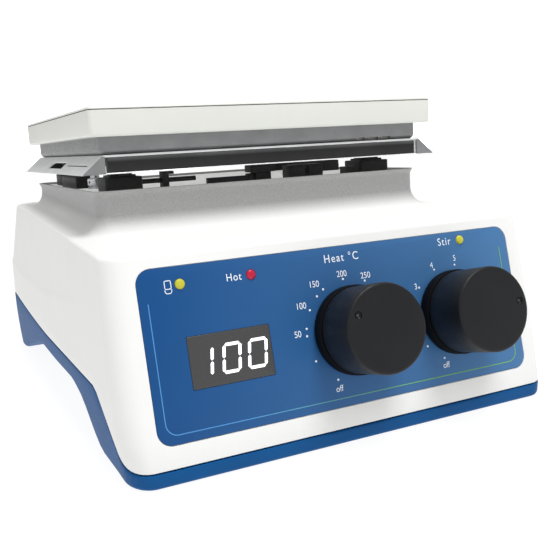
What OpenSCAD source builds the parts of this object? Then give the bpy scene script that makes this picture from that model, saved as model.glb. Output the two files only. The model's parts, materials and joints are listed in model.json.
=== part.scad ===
// Hot-plate magnetic stirrer with a square ceramic top, a sloping control panel and two dials.
// +Z is up, +Y points to the rear, and the control panel faces -Y.
// Every module draws in a working frame whose Y is measured back from the front edge of the base
// and whose Z is measured up from its underside; place() moves that frame onto the model's origin.

/* [Body] */
// Width of the base along its front edge
front_w = 172; // [164:1:180]
// Extra width of the body behind its front corners, both sides together
side_swell = 5; // [0:1:8]
// Depth of the base from its front edge to the rear wall
body_d = 229; // [222:1:236]
// Wall thickness of the casing and the base
wall = 2.5; // [2:0.1:3]
// Plan radius of the front corners
front_r = 12; // [8:1:16]
// Plan radius of the rear corners
rear_r = 14; // [8:1:18]
// Height of the casing's shoulder behind the panel
shoulder_front_z = 70; // [69:0.5:72]
// Height of the casing's shoulder at the rear wall
shoulder_rear_z = 77; // [75:0.5:79]

/* [Base] */
// Height of the seam between base and casing at the front
seam_front_z = 4.5; // [4:0.5:6]
// Height of the seam along the sides
seam_side_z = 24.5; // [23:0.5:27]
// Height of the seam at the rear wall
seam_rear_z = 31; // [28:0.5:34]
// Height of the arch between the front and rear feet
arch_h = 17; // [14:0.5:18]
// Depth of the front foot
front_foot_d = 42; // [38:1:46]
// How far the rubber feet stand below the base
foot_h = 1; // [0.8:0.1:2]
// Radius of a rubber foot
foot_r = 8; // [6:0.5:9]

/* [Neck] */
// Width of the neck under the heated plate
neck_w = 145; // [140:1:147]
// Distance from the front edge to the neck's front wall
neck_y0 = 69; // [66:1:72]
// Distance from the front edge to the neck's rear wall
neck_y1 = 203; // [198:1:206]
// Height of the deck on top of the neck
deck_z = 88; // [86:0.5:89]
// Height of the lip around the deck
lip_h = 1.2; // [0.8:0.1:2]

/* [Plate] */
// Side of the square ceramic top
plate_w = 150; // [148:1:152]
// Thickness of the ceramic top
plate_t = 11; // [10:0.5:12]
// Height of the underside of the ceramic top
plate_z = 109.2; // [108:0.1:110]
// Distance from the front edge to the centre of the top
plate_cy = 134.8; // [133:0.1:137]
// Side of the pan under the ceramic top
pan_w = 141; // [136:1:143]
// Height of the pan's underside
pan_z = 102.5; // [101:0.1:103]
// Height of the shield's lower edge
shield_z = 95.5; // [94:0.1:96.5]
// Width of the flared shield at its lower edge
shield_w = 156.6; // [150:0.1:160]

/* [Panel] */
// Lean of the control panel from the vertical
panel_tilt = 13; // [11:0.5:15]
// Distance from the front edge to the panel's lower edge
panel_y = 1.8; // [1.5:0.1:3]
// Height of the panel's lower edge
panel_z = 12; // [10:0.5:13]
// Width of the printed overlay
panel_w = 150; // [146:1:154]
// Height of the printed overlay, measured along the slope
panel_h = 56; // [54:0.5:57]
// Corner radius of the overlay
panel_r = 5; // [3:0.5:7]

/* [Dials] */
// Height of both dial centres up the panel
dial_v = 25.8; // [24:0.1:28]
// Distance of the stirring dial to the right of the heating dial
stir_x = 44.8; // [42:0.1:47]
// Radius of a knob
knob_r = 15.3; // [13:0.1:15.4]
// Radius of the collar behind a knob
collar_r = 15.9; // [15.5:0.1:17]
// Distance of a knob's face from the panel
knob_face_h = 22.7; // [20:0.1:25]
// Angle of the heating pointer, anticlockwise from the right
heat_angle = 151; // [0:1:240]
// Angle of the stirring pointer, anticlockwise from the right
stir_angle = 7; // [0:1:240]

/* [Stirring drive] */
// Radius of the motor can
motor_r = 29; // [26:1:32]
// Radius of the drive shaft
shaft_r = 3; // [2.5:0.1:4]
// Running clearance of the shafts, on the radius
running_gap = 0.04; // [0.02:0.01:0.08]
// Radius of the magnet carrier
carrier_r = 32; // [28:1:34]

/* [Hidden] */
$fn = 64;

// How far a cutter runs past the face that it opens
overlap = 1;
// Clearance around a part that drops into a pocket or stands in a hole
gap = 0.1;
sheet_t = 0.8;
overlay_t = 0.6;
corner_r = 5;

// Plan of the body
rear_w = front_w + side_swell;
swell_y = 120;
casing_top_z = shoulder_rear_z + wall;

// The seam runs low across the front, climbs round the corners and stays high along the sides.
seam_points = [[0, seam_front_z], [8, seam_front_z], [16, 8.5], [24, 14.5],
    [34, 21.5], [42, seam_side_z], [swell_y, seam_side_z], [body_d, seam_rear_z]];
shoulder_points = [[body_d, shoulder_rear_z], [front_y(shoulder_front_z), shoulder_front_z],
    [front_y(seam_front_z), seam_front_z]];

// The arch between the feet
arch_y0 = front_foot_d + 30;
arch_y1 = 148;
rear_foot_y = 204;
floor_z = arch_h + wall;
underside_points = [[0, 0], [front_foot_d, 0], [arch_y0, arch_h], [arch_y1, arch_h],
    [rear_foot_y, 0], [body_d, 0]];

// Screw bosses and feet, as places on the right half that are mirrored to the left
front_boss = [76, 30];
rear_boss = [78, 214];
foot_places = [[62, 20], [62, 214]];
foot_pocket = 1.2;
boss_r = 4;
boss_z = wall + 0.4;
case_screw_r = 1.3;
case_screw_head_r = 3;
case_screw_head_t = 1;
case_screw_l = 16;

// Neck and deck
neck_l = neck_y1 - neck_y0;
neck_cy = (neck_y0 + neck_y1) / 2;
lip_t = 1.2;
deck_t = 2;
deck_under_z = deck_z - deck_t;
lead_xs = [18.4, 27.6];
lead_y = 84;
lead_r = 1.1;
lead_hole_r = 1.6;

// Ceramic top, with the sheets and the heater that it covers
plate_r = 3;
pocket_w = 124;
pocket_h = 2.5;
post_r = 5;
post_gap = 0.4;
mica_z = plate_z + 0.2;
element_z = plate_z + 1.3;

// Standoffs and their screws
standoff_x = 58.5;
standoff_front_y = 87.5;
standoff_w = 15;
standoff_step_w = 8.5;
standoff_body_h = 5.6;
standoff_screw_r = 1.95;
standoff_screw_head_r = 3.5;
standoff_screw_head_t = 2.2;
screw_grip = 6.5;
screw_hole_r = 2.2;

// Stirring drive, stacked downwards from the deck
magnet_gap = 2;
magnet_h = 6;
magnet_r = 9;
magnet_offset = 21;
carrier_t = 4;
carrier_z = deck_under_z - magnet_gap - magnet_h - carrier_t;
hub_r = 9;
hub_h = 6;
motor_post_r = 5;
motor_post_z = 64;
motor_post_offset = 42;
grommet_h = 2.5;
grommet_bore_r = 2;
bracket_t = 2;
bracket_z = motor_post_z - grommet_h - bracket_t;
motor_h = 31;
motor_z = bracket_z - motor_h;
can_wall = 3;
bearing_r = 8;
bearing_t = 5;
nose_h = 4;
nose_r = bearing_r + can_wall;
lower_bearing_z = motor_z + 1;
upper_bearing_z = bracket_z + nose_h - bearing_t;
rotor_r = 14;
rotor_gap = 1;
stator_clear = 4;
shaft_z = lower_bearing_z + 0.2;

// Electronics
board_x0 = -78;
board_y0 = 78;
board_w = 40;
board_l = 66;
board_t = 1.6;
board_z = floor_z + 6;
board_top_z = board_z + board_t;
board_hole_inset = 4;
ribbon_w = 10;
ribbon_t = 1;
ribbon_plug_h = 6;

// Dials and other parts of the panel
spindle_r = 3;
bushing_r = 4.5;
bushing_h = 2.6;
control_w = 17;
control_d = 9;
inner_h = -overlay_t - wall;
nut_r = 6.5;
nut_t = 2;
collar_h0 = 0.6;
collar_h1 = 5;
collar_bore_r = 9.5;
knob_cap_t = 4;
pointer_r = 11.9;
pointer_hole_r = 1.3;
pointer_hole_d = 1.2;
window_w = 29.4;
window_h = 17.3;
window_x = -46.7;
window_v = 24.3;
window_t = 1.1;
lamp_r = 1.7;
lamp_l = 9.6;
lamps = [[-60.7, 50.1], [-35.7, 50.1], [52.6, 52.7]];
module_h = 8.6;
module_h0 = -10;
front_board_h0 = -13.9;

// Rear panel
flange_t = 1.2;
inlet_x = 47;
inlet_z = 54;
inlet_w = 58;
inlet_h = 29;
inlet_deep = 26;
inlet_body_w = inlet_w - 10;
inlet_body_h = inlet_h - 4;
inlet_screw_dx = 25.6;
inlet_screw_r = 1.25;
socket_x = 36.5;
socket_w = 24;
socket_h = 16.5;
socket_deep = 17;
drawer_x = 62;
drawer_w = 13;
drawer_h = 20;
drawer_deep = 24;
drawer_lip = 0.5;
drawer_gap = 0.15;
drawer_y1 = body_d + flange_t + drawer_lip;
fuse_r = 2.6;
fuse_pitch = 8.6;
fuse_bay_h = 7.4;
fuse_bay_z = 2;
fuse_bay_end = 1.5;
fuse_bay_mouth = 3.5;
probe_x = -14;
probe_z = 55;
probe_r = 8;
probe_body_r = 6.3;
probe_bore_r = 4.2;
probe_bore_d = 8;

// Pillar that takes a support rod at the rear left, under a clearance hole in the casing
rod_place = [-60, 216];
rod_tap_r = 4.25;
rod_clear_r = 6;
rod_pillar_r = 7.5;
rod_tap_l = 14.5;
shoulder_rise = (shoulder_rear_z - shoulder_front_z) / body_d;
rod_skin_z = shoulder_front_z - wall + shoulder_rise * (rod_place[1] - rod_pillar_r);
rod_top_z = rod_skin_z - 3 * gap;

// The origin is at the middle of the outer box, on the surface that the feet rest on.
knob_reach = knob_face_h * cos(panel_tilt) - (dial_v - knob_r) * sin(panel_tilt) - panel_y;
centre_y = (drawer_y1 - knob_reach) / 2;

// Y of the panel's plane at height z
function front_y(z) = panel_y + (z - panel_z) * tan(panel_tilt);

module place() {
    translate([0, -centre_y, foot_h]) children();
}

// Local frame of the control panel: X across, Y up the slope, Z out of the panel
module on_panel(x = 0, v = 0, h = 0) {
    translate([0, panel_y, panel_z])
        rotate([90 - panel_tilt, 0, 0])
            translate([x, v, h]) children();
}

// Local frame of the rear wall: Z points out of the wall
module on_rear(x, z, out = 0) {
    translate([x, body_d + out, z]) rotate([-90, 0, 0]) children();
}

module on_plate_centre(z = 0) {
    translate([0, plate_cy, z]) children();
}

module mirrored(places) {
    for (s = [-1, 1], p = places)
        translate([s * p[0], p[1], 0]) children();
}

module at_screw_bosses() {
    mirrored([front_boss, rear_boss]) children();
}

module at_feet() {
    mirrored(foot_places) children();
}

module at_standoffs() {
    mirrored([for (y = [standoff_front_y, 2 * plate_cy - standoff_front_y]) [standoff_x, y]]) children();
}

module at_motor_posts() {
    mirrored([for (s = [-1, 1]) [motor_post_offset, plate_cy + s * motor_post_offset]]) children();
}

module at_board_holes() {
    for (x = [board_hole_inset, board_w - board_hole_inset])
        for (y = [board_hole_inset, board_l - board_hole_inset])
            translate([board_x0 + x, board_y0 + y, 0]) children();
}

module centred_box(size, z0 = 0) {
    translate([-size[0] / 2, -size[1] / 2, z0]) cube(size);
}

// A box against the rear wall, centred on x and z, that reaches y_in into the body and y_out out of it
module rear_box(x, z, w, h, y_in, y_out) {
    translate([x - w / 2, body_d - y_in, z - h / 2]) cube([w, y_in + y_out, h]);
}

module rounded_rect(w, d, r) {
    square([w - 2 * r, d], center = true);
    square([w, d - 2 * r], center = true);
    for (sx = [-1, 1], sy = [-1, 1])
        translate([sx * (w / 2 - r), sy * (d / 2 - r)]) circle(r);
}

module rounded_slab(w, d, r, h) {
    linear_extrude(h) rounded_rect(w, d, r);
}

// Body plan, drawn in by inset on every side
module body_plan(inset) {
    hull() {
        for (s = [-1, 1]) {
            translate([s * (front_w / 2 - front_r), front_r]) circle(front_r - inset);
            translate([s * (rear_w / 2 - front_r), swell_y]) circle(front_r - inset);
            translate([s * (rear_w / 2 - rear_r), body_d - rear_r]) circle(rear_r - inset);
        }
    }
}

// A side profile in Y and Z, drawn right across the body
module across(points) {
    translate([-rear_w, 0, 0])
        rotate([90, 0, 90]) linear_extrude(2 * rear_w) polygon(points);
}

// ---- Body shells ----

module base_solid() {
    seam_back = [for (i = [len(seam_points) - 1:-1:0]) seam_points[i]];
    intersection() {
        linear_extrude(seam_rear_z + wall) body_plan(0);
        across(concat(underside_points, seam_back));
    }
}

module base_hollow() {
    above = 2 * seam_rear_z;
    intersection() {
        linear_extrude(above) body_plan(wall);
        across([[0, wall], [front_foot_d - 1, wall], [arch_y0 - 1, floor_z], [arch_y1 + 1, floor_z],
            [rear_foot_y + 1, wall], [body_d, wall], [body_d, above], [0, above]]);
    }
}

module base_shell() {
    slots = 5;
    slot_l = 46;
    slot_w = 3;
    slot_pitch = 8;
    first_slot_y = plate_cy - 40;
    head_pocket_r = case_screw_head_r + 0.4;
    shank_hole_r = case_screw_r + 0.5;
    place() color("steelblue") difference() {
        base_solid();
        base_hollow();
        at_feet() translate([0, 0, -overlap]) cylinder(r = foot_r + gap, h = overlap + foot_pocket);
        at_screw_bosses() translate([0, 0, -overlap]) {
            cylinder(r = shank_hole_r, h = 3 * wall);
            cylinder(r = head_pocket_r, h = overlap + case_screw_head_t);
        }
        for (i = [0:slots - 1])
            translate([-slot_l / 2, first_slot_y + i * slot_pitch, arch_h - overlap])
                cube([slot_l, slot_w, wall + 2 * overlap]);
    }
}

module casing_solid() {
    root = 10;
    seam_side = [for (i = [1:len(seam_points) - 1]) seam_points[i]];
    intersection() {
        linear_extrude(casing_top_z) body_plan(0);
        across(concat(seam_side, shoulder_points));
    }
    translate([0, neck_cy, shoulder_front_z - root])
        rounded_slab(neck_w, neck_l, corner_r, deck_z + lip_h - shoulder_front_z + root);
}

module casing_hollow() {
    root = 20;
    behind_panel = (wall + overlay_t) / cos(panel_tilt);
    shoulder_under_z = shoulder_front_z - wall;
    intersection() {
        linear_extrude(shoulder_rear_z) body_plan(wall);
        across([[front_y(-overlap) + behind_panel, -overlap], [body_d, -overlap],
            [body_d, shoulder_rear_z - wall],
            [front_y(shoulder_under_z) + behind_panel, shoulder_under_z]]);
    }
    translate([0, neck_cy, shoulder_front_z - root])
        rounded_slab(neck_w - 2 * wall, neck_l - 2 * wall, corner_r - wall,
            deck_under_z - shoulder_front_z + root);
    translate([0, neck_cy, deck_z])
        rounded_slab(neck_w - 2 * lip_t, neck_l - 2 * lip_t, corner_r - lip_t, lip_h + overlap);
}

// Screw bosses, each tied to the side wall by a rib, and the motor's posts
module casing_bosses() {
    front_boss_h = 34;
    rear_boss_h = 50;
    rib_l = 8;
    rib_t = 2;
    mirrored([front_boss]) translate([0, 0, boss_z]) cylinder(r = boss_r, h = front_boss_h);
    mirrored([rear_boss]) translate([0, 0, boss_z]) cylinder(r = boss_r, h = rear_boss_h);
    mirrored([front_boss + [boss_r, -1]]) centred_box([rib_l, rib_t, rib_l], 28);
    mirrored([rear_boss + [boss_r, -1]]) centred_box([rib_l, rib_t, 2 * rib_l], 36);
    at_motor_posts() translate([0, 0, motor_post_z])
        cylinder(r = motor_post_r, h = deck_under_z + deck_t / 4 - motor_post_z);
}

module upper_casing() {
    through = 4 * wall;
    boss_hole_l = 26;
    post_hole_r = 1.6;
    post_hole_l = 13;
    place() color("white") difference() {
        union() {
            difference() {
                casing_solid();
                casing_hollow();
            }
            casing_bosses();
        }
        on_panel(0, panel_h / 2, -overlay_t)
            rounded_slab(panel_w + 4 * gap, panel_h + 4 * gap, panel_r, 2 * wall);
        for (x = [0, stir_x])
            on_panel(x, dial_v, -through) cylinder(r = bushing_r + gap, h = 2 * through);
        on_panel(window_x, window_v, -through) centred_box([window_w + 1, window_h + 1, 2 * through]);
        for (p = lamps)
            on_panel(p[0], p[1], -through) cylinder(r = lamp_r + gap, h = 2 * through);
        at_screw_bosses() cylinder(r = case_screw_r + gap / 2, h = boss_hole_l);
        at_motor_posts() translate([0, 0, motor_post_z - overlap])
            cylinder(r = post_hole_r, h = overlap + post_hole_l);
        at_standoffs() translate([0, 0, deck_under_z - overlap])
            cylinder(r = screw_hole_r, h = deck_t + 2 * overlap);
        for (x = lead_xs)
            translate([x, lead_y, deck_under_z - overlap])
                cylinder(r = lead_hole_r, h = deck_t + 2 * overlap);
        rear_box(inlet_x, inlet_z, inlet_body_w, inlet_body_h, 2 * wall, 2 * wall);
        for (s = [-1, 1])
            on_rear(inlet_x + s * inlet_screw_dx, inlet_z, -2 * wall)
                cylinder(r = inlet_screw_r + gap / 2, h = through);
        on_rear(probe_x, probe_z, -2 * wall) cylinder(r = probe_body_r + 2 * gap, h = through);
        translate(concat(rod_place, rod_top_z)) cylinder(r = rod_clear_r, h = through);
    }
}

module rubber_feet() {
    place() color("dimgray") at_feet() translate([0, 0, -foot_h])
        cylinder(r = foot_r, h = foot_h + foot_pocket);
}

module base_screws() {
    place() color("silver") at_screw_bosses() {
        cylinder(r = case_screw_head_r, h = case_screw_head_t);
        cylinder(r = case_screw_r, h = case_screw_l);
    }
}

// ---- Heated top ----

module ceramic_top() {
    thread_r = 2;
    thread_l = 10;
    place() color("whitesmoke") difference() {
        union() {
            on_plate_centre(plate_z) rounded_slab(plate_w, plate_w, plate_r, plate_t);
            at_standoffs() translate([0, 0, pan_z + sheet_t]) cylinder(r = post_r, h = plate_z - pan_z);
        }
        difference() {
            on_plate_centre() centred_box([pocket_w, pocket_w, plate_z + pocket_h - pan_z], pan_z);
            at_standoffs() translate([0, 0, pan_z - overlap])
                cylinder(r = post_r, h = plate_z + pocket_h + 2 * overlap - pan_z);
        }
        at_standoffs() translate([0, 0, pan_z - overlap]) cylinder(r = thread_r, h = overlap + thread_l);
    }
}

module heater_pan() {
    inner_w = pan_w - 2 * sheet_t;
    place() color("gray") difference() {
        on_plate_centre(pan_z) rounded_slab(pan_w, pan_w, plate_r, plate_z - pan_z);
        on_plate_centre(pan_z + sheet_t)
            rounded_slab(inner_w, inner_w, plate_r - sheet_t, plate_z - pan_z);
        at_standoffs() translate([0, 0, pan_z - overlap])
            cylinder(r = screw_hole_r, h = sheet_t + 2 * overlap);
    }
}

// Section of the shield: a flat top, with sides that flare outwards down to the open lower edge
module shield_section(inset, below) {
    top_w = pan_w / 2 - inset;
    bottom_w = shield_w / 2 - 1.2 * inset;
    polygon([[-top_w, pan_z - inset], [top_w, pan_z - inset],
        [bottom_w, shield_z - below], [-bottom_w, shield_z - below]]);
}

module heat_shield() {
    shield_d = pan_w + 3;
    place() color("silver") difference() {
        on_plate_centre() rotate([90, 0, 0])
            linear_extrude(shield_d, center = true) shield_section(0, 0);
        on_plate_centre() rotate([90, 0, 0])
            linear_extrude(shield_d - 2 * sheet_t, center = true) shield_section(sheet_t, overlap);
        at_standoffs() translate([0, 0, pan_z - sheet_t - overlap])
            cylinder(r = screw_hole_r, h = sheet_t + 2 * overlap);
    }
}

// A flat track that runs to and fro under the ceramic
module heating_element() {
    tracks = 13;
    track_w = 4;
    track_t = 1;
    pitch = 8;
    length = 112;
    link_y = (length - track_w) / 2;
    place() color("darkgoldenrod") on_plate_centre(element_z)
        for (i = [0:tracks - 1])
            translate([(i - (tracks - 1) / 2) * pitch, 0, 0]) {
                centred_box([track_w, length, track_t]);
                if (i < tracks - 1)
                    translate([pitch / 2, (i % 2 == 0 ? 1 : -1) * link_y, 0])
                        centred_box([pitch + track_w, track_w, track_t]);
            }
}

module mica_sheet() {
    mica_w = 120;
    mica_t = 1;
    place() color("tan") difference() {
        on_plate_centre() centred_box([mica_w, mica_w, mica_t], mica_z);
        at_standoffs() translate([0, 0, mica_z - overlap])
            cylinder(r = post_r + post_gap, h = mica_t + 2 * overlap);
    }
}

module insulation_pad() {
    pad_w = 136;
    pad_z = pan_z + sheet_t;
    pad_t = mica_z - pad_z - 4 * gap;
    place() color("ivory") difference() {
        on_plate_centre() centred_box([pad_w, pad_w, pad_t], pad_z);
        at_standoffs() translate([0, 0, pad_z - overlap])
            cylinder(r = post_r + post_gap, h = pad_t + 2 * overlap);
    }
}

// ---- Between the neck and the heated top ----

module plate_standoffs() {
    step_h = pan_z - sheet_t - deck_z;
    place() color("black") at_standoffs() translate([0, 0, deck_z]) difference() {
        union() {
            centred_box([standoff_w, standoff_w, standoff_body_h]);
            centred_box([standoff_step_w, standoff_step_w, step_h]);
        }
        translate([0, 0, -overlap]) cylinder(r = screw_hole_r, h = step_h + 2 * overlap);
    }
}

module standoff_screws() {
    place() color("silver") at_standoffs() {
        translate([0, 0, deck_under_z - standoff_screw_head_t])
            cylinder(r = standoff_screw_head_r, h = standoff_screw_head_t);
        translate([0, 0, deck_under_z - overlap])
            cylinder(r = standoff_screw_r, h = pan_z + screw_grip + overlap - deck_under_z);
    }
}

module side_strips() {
    strip = [10, 36, 5.4];
    strip_place = [63, 146];
    place() color("black") mirrored([strip_place]) centred_box(strip, deck_z);
}

module earth_post() {
    place() color("silver") translate([-61.5, 119, deck_z]) {
        cylinder(r = 3.4, h = 4.6);
        cylinder(r = 2, h = 6);
    }
}

// A small cut-out switch on two feet, with its tail to the left
module thermal_cutout() {
    cap = [12, 8, 3.2];
    stem = [7.6, 6, 4];
    tail = [20.5, 3.5, 2.5];
    place() color("black") translate([4, 87, deck_z]) {
        centred_box(stem);
        translate([0, 0.5, 0]) centred_box(cap, stem[2] - 0.4);
        translate([-stem[0] / 2 - tail[0] / 2 - 0.7, 0.7, 0]) centred_box(tail);
    }
}

module heater_terminals() {
    terminal = [7.2, 8, 5.7];
    place() color("black") for (x = lead_xs)
        translate([x, lead_y, 0]) centred_box(terminal, deck_z);
}

module sensor_sheath() {
    place() color("black") translate([-50.5, 87, deck_z + 3])
        rotate([0, 90, 0]) cylinder(r = 1, h = 24);
}

module sensor_clip() {
    stem_w = 2.8;
    clip_d = 4;
    clip_h = 6.6;
    arm_l = 5;
    arm_t = 1.2;
    sheath_hole_r = 1.1;
    place() color("black") translate([-40, 87, deck_z]) difference() {
        union() {
            centred_box([stem_w, clip_d, clip_h]);
            translate([(arm_l - stem_w) / 2, 0, 0]) centred_box([arm_l, clip_d, arm_t], clip_h - arm_t);
        }
        translate([-stem_w, 0, 3]) rotate([0, 90, 0]) cylinder(r = sheath_hole_r, h = 2 * stem_w);
    }
}

module sensor_plug() {
    plug = [4.6, 6, 3.4];
    place() color("black") translate([45.7, 83, 0]) centred_box(plug, deck_z);
}

// A round lead through a list of points, with a ball at each bend
module lead_run(points, r) {
    for (i = [0:len(points) - 2]) {
        run = points[i + 1] - points[i];
        translate(points[i])
            rotate([0, acos(run[2] / norm(run)), atan2(run[1], run[0])]) cylinder(r = r, h = norm(run));
        if (i < len(points) - 2)
            translate(points[i + 1]) sphere(r);
    }
}

// Two leads drop from the terminals through the deck and cross over to the board's connector. The outer one
// crosses lower, so it passes under the inner one.
module heater_leads() {
    end_y = board_y0 + 14.5;
    end_z = board_top_z + 8;
    place() color("ivory") for (x = lead_xs) {
        end_x = -54 + x / 2;
        cross_z = 58 - x / 2;
        lead_run([[x, lead_y, deck_z], [x, lead_y, cross_z], [end_x, lead_y, cross_z],
            [end_x, end_y, cross_z], [end_x, end_y, end_z]], lead_r);
    }
}

// ---- Stirring drive ----

module motor_can() {
    inner_r = motor_r - can_wall;
    inner_h = motor_h - 2 * can_wall;
    place() color("gray") on_plate_centre() difference() {
        union() {
            translate([0, 0, motor_z]) cylinder(r = motor_r, h = motor_h);
            translate([0, 0, bracket_z - overlap]) cylinder(r = nose_r, h = overlap + nose_h);
        }
        translate([0, 0, motor_z + can_wall]) cylinder(r = inner_r, h = inner_h);
        translate([0, 0, lower_bearing_z]) cylinder(r = bearing_r, h = bearing_t);
        translate([0, 0, upper_bearing_z]) cylinder(r = bearing_r, h = bearing_t + overlap);
        translate([0, 0, bracket_z - 2 * can_wall]) cylinder(r = bearing_r - 2, h = 2 * can_wall);
    }
}

module motor_bearings() {
    place() color("silver") for (z = [lower_bearing_z, upper_bearing_z])
        on_plate_centre(z) difference() {
            cylinder(r = bearing_r, h = bearing_t);
            translate([0, 0, -overlap])
                cylinder(r = shaft_r + running_gap, h = bearing_t + 2 * overlap);
        }
}

module motor_stator() {
    stator_h = motor_h - 2 * can_wall - 2 * stator_clear;
    slot_w = 5;
    slot_x = 18;
    place() color("peru") on_plate_centre(motor_z + can_wall + stator_clear) difference() {
        cylinder(r = motor_r - can_wall, h = stator_h);
        translate([0, 0, -overlap]) cylinder(r = rotor_r + rotor_gap, h = stator_h + 2 * overlap);
        for (a = [0:45:315])
            rotate(a) translate([slot_x + slot_w / 2, 0, 0])
                centred_box([slot_w, slot_w, stator_h + 2 * overlap], -overlap);
    }
}

module motor_rotor() {
    rotor_clear = stator_clear + 1;
    rotor_h = motor_h - 2 * can_wall - 2 * rotor_clear;
    place() color("silver") on_plate_centre(motor_z + can_wall + rotor_clear) difference() {
        cylinder(r = rotor_r, h = rotor_h);
        translate([0, 0, -overlap]) cylinder(r = shaft_r, h = rotor_h + 2 * overlap);
    }
}

module drive_shaft() {
    place() color("silver") on_plate_centre(shaft_z)
        cylinder(r = shaft_r, h = carrier_z + carrier_t - shaft_z);
}

module magnet_carrier() {
    lightening_r = 6;
    lightening_x = 20;
    place() color("lightgray") on_plate_centre(carrier_z) difference() {
        union() {
            cylinder(r = carrier_r, h = carrier_t);
            translate([0, 0, -hub_h]) cylinder(r = hub_r, h = hub_h + overlap);
        }
        translate([0, 0, -hub_h - overlap]) cylinder(r = shaft_r, h = hub_h + carrier_t + 2 * overlap);
        for (a = [45:90:315])
            rotate(a) translate([lightening_x, 0, -overlap])
                cylinder(r = lightening_r, h = carrier_t + 2 * overlap);
    }
}

module stir_magnets() {
    place() color("dimgray") on_plate_centre(carrier_z + carrier_t)
        for (s = [-1, 1])
            translate([s * magnet_offset, 0, 0]) cylinder(r = magnet_r, h = magnet_h);
}

// A square plate with hollowed sides, hung from the four motor posts
module motor_bracket() {
    corner = 7;
    bracket_w = 2 * (motor_post_offset + corner);
    side_r = 26;
    place() color("silver") difference() {
        on_plate_centre(bracket_z) rounded_slab(bracket_w, bracket_w, corner, bracket_t);
        on_plate_centre(bracket_z - overlap) cylinder(r = nose_r + 3 * gap, h = bracket_t + 2 * overlap);
        at_motor_posts() translate([0, 0, bracket_z - overlap])
            cylinder(r = grommet_bore_r, h = bracket_t + 2 * overlap);
        for (a = [0:90:270])
            on_plate_centre(bracket_z - overlap) rotate(a) translate([bracket_w / 2, 0, 0])
                cylinder(r = side_r, h = bracket_t + 2 * overlap);
    }
}

module motor_grommets() {
    place() color("black") at_motor_posts() translate([0, 0, motor_post_z - grommet_h]) difference() {
        cylinder(r = motor_post_r, h = grommet_h);
        translate([0, 0, -overlap]) cylinder(r = grommet_bore_r, h = grommet_h + 2 * overlap);
    }
}

module motor_screws() {
    head_r = 3.2;
    head_t = 2;
    shank_r = 1.5;
    shank_l = 13;
    place() color("silver") at_motor_posts() translate([0, 0, bracket_z]) {
        translate([0, 0, -head_t]) cylinder(r = head_r, h = head_t);
        translate([0, 0, -overlap]) cylinder(r = shank_r, h = overlap + shank_l);
    }
}

// ---- Electronics ----

module main_board() {
    hole_r = 1.6;
    place() color("darkgreen") difference() {
        translate([board_x0, board_y0, board_z]) cube([board_w, board_l, board_t]);
        at_board_holes() translate([0, 0, board_z - overlap])
            cylinder(r = hole_r, h = board_t + 2 * overlap);
    }
}

module board_pillars() {
    pillar_r = 2.8;
    tip_r = 1.4;
    tip_h = 1;
    place() color("silver") at_board_holes() translate([0, 0, floor_z]) {
        cylinder(r = pillar_r, h = board_z - floor_z);
        cylinder(r = tip_r, h = board_top_z + tip_h - floor_z);
    }
}

// Two stacks of plates with the wound bobbin between them
module transformer() {
    stack = [34, 12, 30];
    stack_pitch = 24;
    bobbin = [28, 26, 24];
    place() color("dimgray") translate([59, 98, floor_z]) {
        for (i = [0, 1])
            translate([0, i * stack_pitch, 0]) centred_box(stack);
        translate([0, stack_pitch / 2, 0]) centred_box(bobbin, (stack[2] - bobbin[2]) / 2);
    }
}

module relay() {
    place() color("royalblue") translate([board_x0 + 12, board_y0 + 36, board_top_z])
        centred_box([16, 20, 16]);
}

module heat_sink() {
    fins = 6;
    fin_pitch = 4;
    fin = [1.6, 9, 20];
    back_t = 2;
    place() color("gray") translate([board_x0 + 10, board_y0 + 49, board_top_z]) {
        cube([(fins - 1) * fin_pitch + fin[0], back_t, fin[2]]);
        for (i = [0:fins - 1])
            translate([i * fin_pitch, 0, 0]) cube(fin);
    }
}

module capacitors() {
    place() color("black") for (i = [0, 1])
        translate([board_x0 + 29, board_y0 + 30 + i * 12, board_top_z]) cylinder(r = 5, h = 16 - 3 * i);
}

module board_connectors() {
    heater_connector = [13, 7, 8];
    ribbon_connector = [ribbon_w + 2, 5, ribbon_plug_h];
    place() color("white") {
        translate([board_x0 + 33.1, board_y0 + 14.5, board_top_z]) centred_box(heater_connector);
        translate([board_x0 + 15, board_y0 + 11.5, board_top_z]) centred_box(ribbon_connector);
    }
}

// A flat cable from the main board to the back of the front board
module ribbon_cable() {
    x0 = board_x0 + 10;
    z = board_top_z + ribbon_plug_h;
    run_z = z + 1;
    run_y0 = 27;
    place() color("lightgray") {
        translate([x0, board_y0 + 9, z]) cube([ribbon_w, 3, 2 * ribbon_t]);
        translate([x0, run_y0, run_z]) cube([ribbon_w, board_y0 + 10 - run_y0, ribbon_t]);
        on_panel(x0 + ribbon_w / 2, 30, -15.4) centred_box([ribbon_w, 6, 1.4]);
    }
}

// ---- Control panel ----

module front_overlay() {
    place() color("steelblue") difference() {
        on_panel(0, panel_h / 2, -overlay_t) rounded_slab(panel_w, panel_h, panel_r, overlay_t);
        for (x = [0, stir_x])
            on_panel(x, dial_v, -wall) cylinder(r = bushing_r + gap, h = 2 * wall);
        on_panel(window_x, window_v, -wall) centred_box([window_w, window_h, 2 * wall]);
        for (p = lamps)
            on_panel(p[0], p[1], -wall) cylinder(r = lamp_r + gap, h = 2 * wall);
    }
}

module display_window() {
    place() color("dimgray") on_panel(window_x, window_v, -gap)
        centred_box([window_w - 2 * gap, window_h - 2 * gap, window_t], -window_t);
}

module display_module() {
    place() color("black") on_panel(window_x, window_v, module_h0)
        centred_box([window_w - 1, window_h - 1, module_h]);
}

module status_lamps() {
    dome_h = 0.5;
    place() color("gold") for (p = lamps) on_panel(p[0], p[1], module_h0) {
        cylinder(r = lamp_r, h = lamp_l);
        translate([0, 0, lamp_l]) cylinder(r1 = lamp_r, r2 = lamp_r - dome_h, h = dome_h);
    }
}

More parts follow.
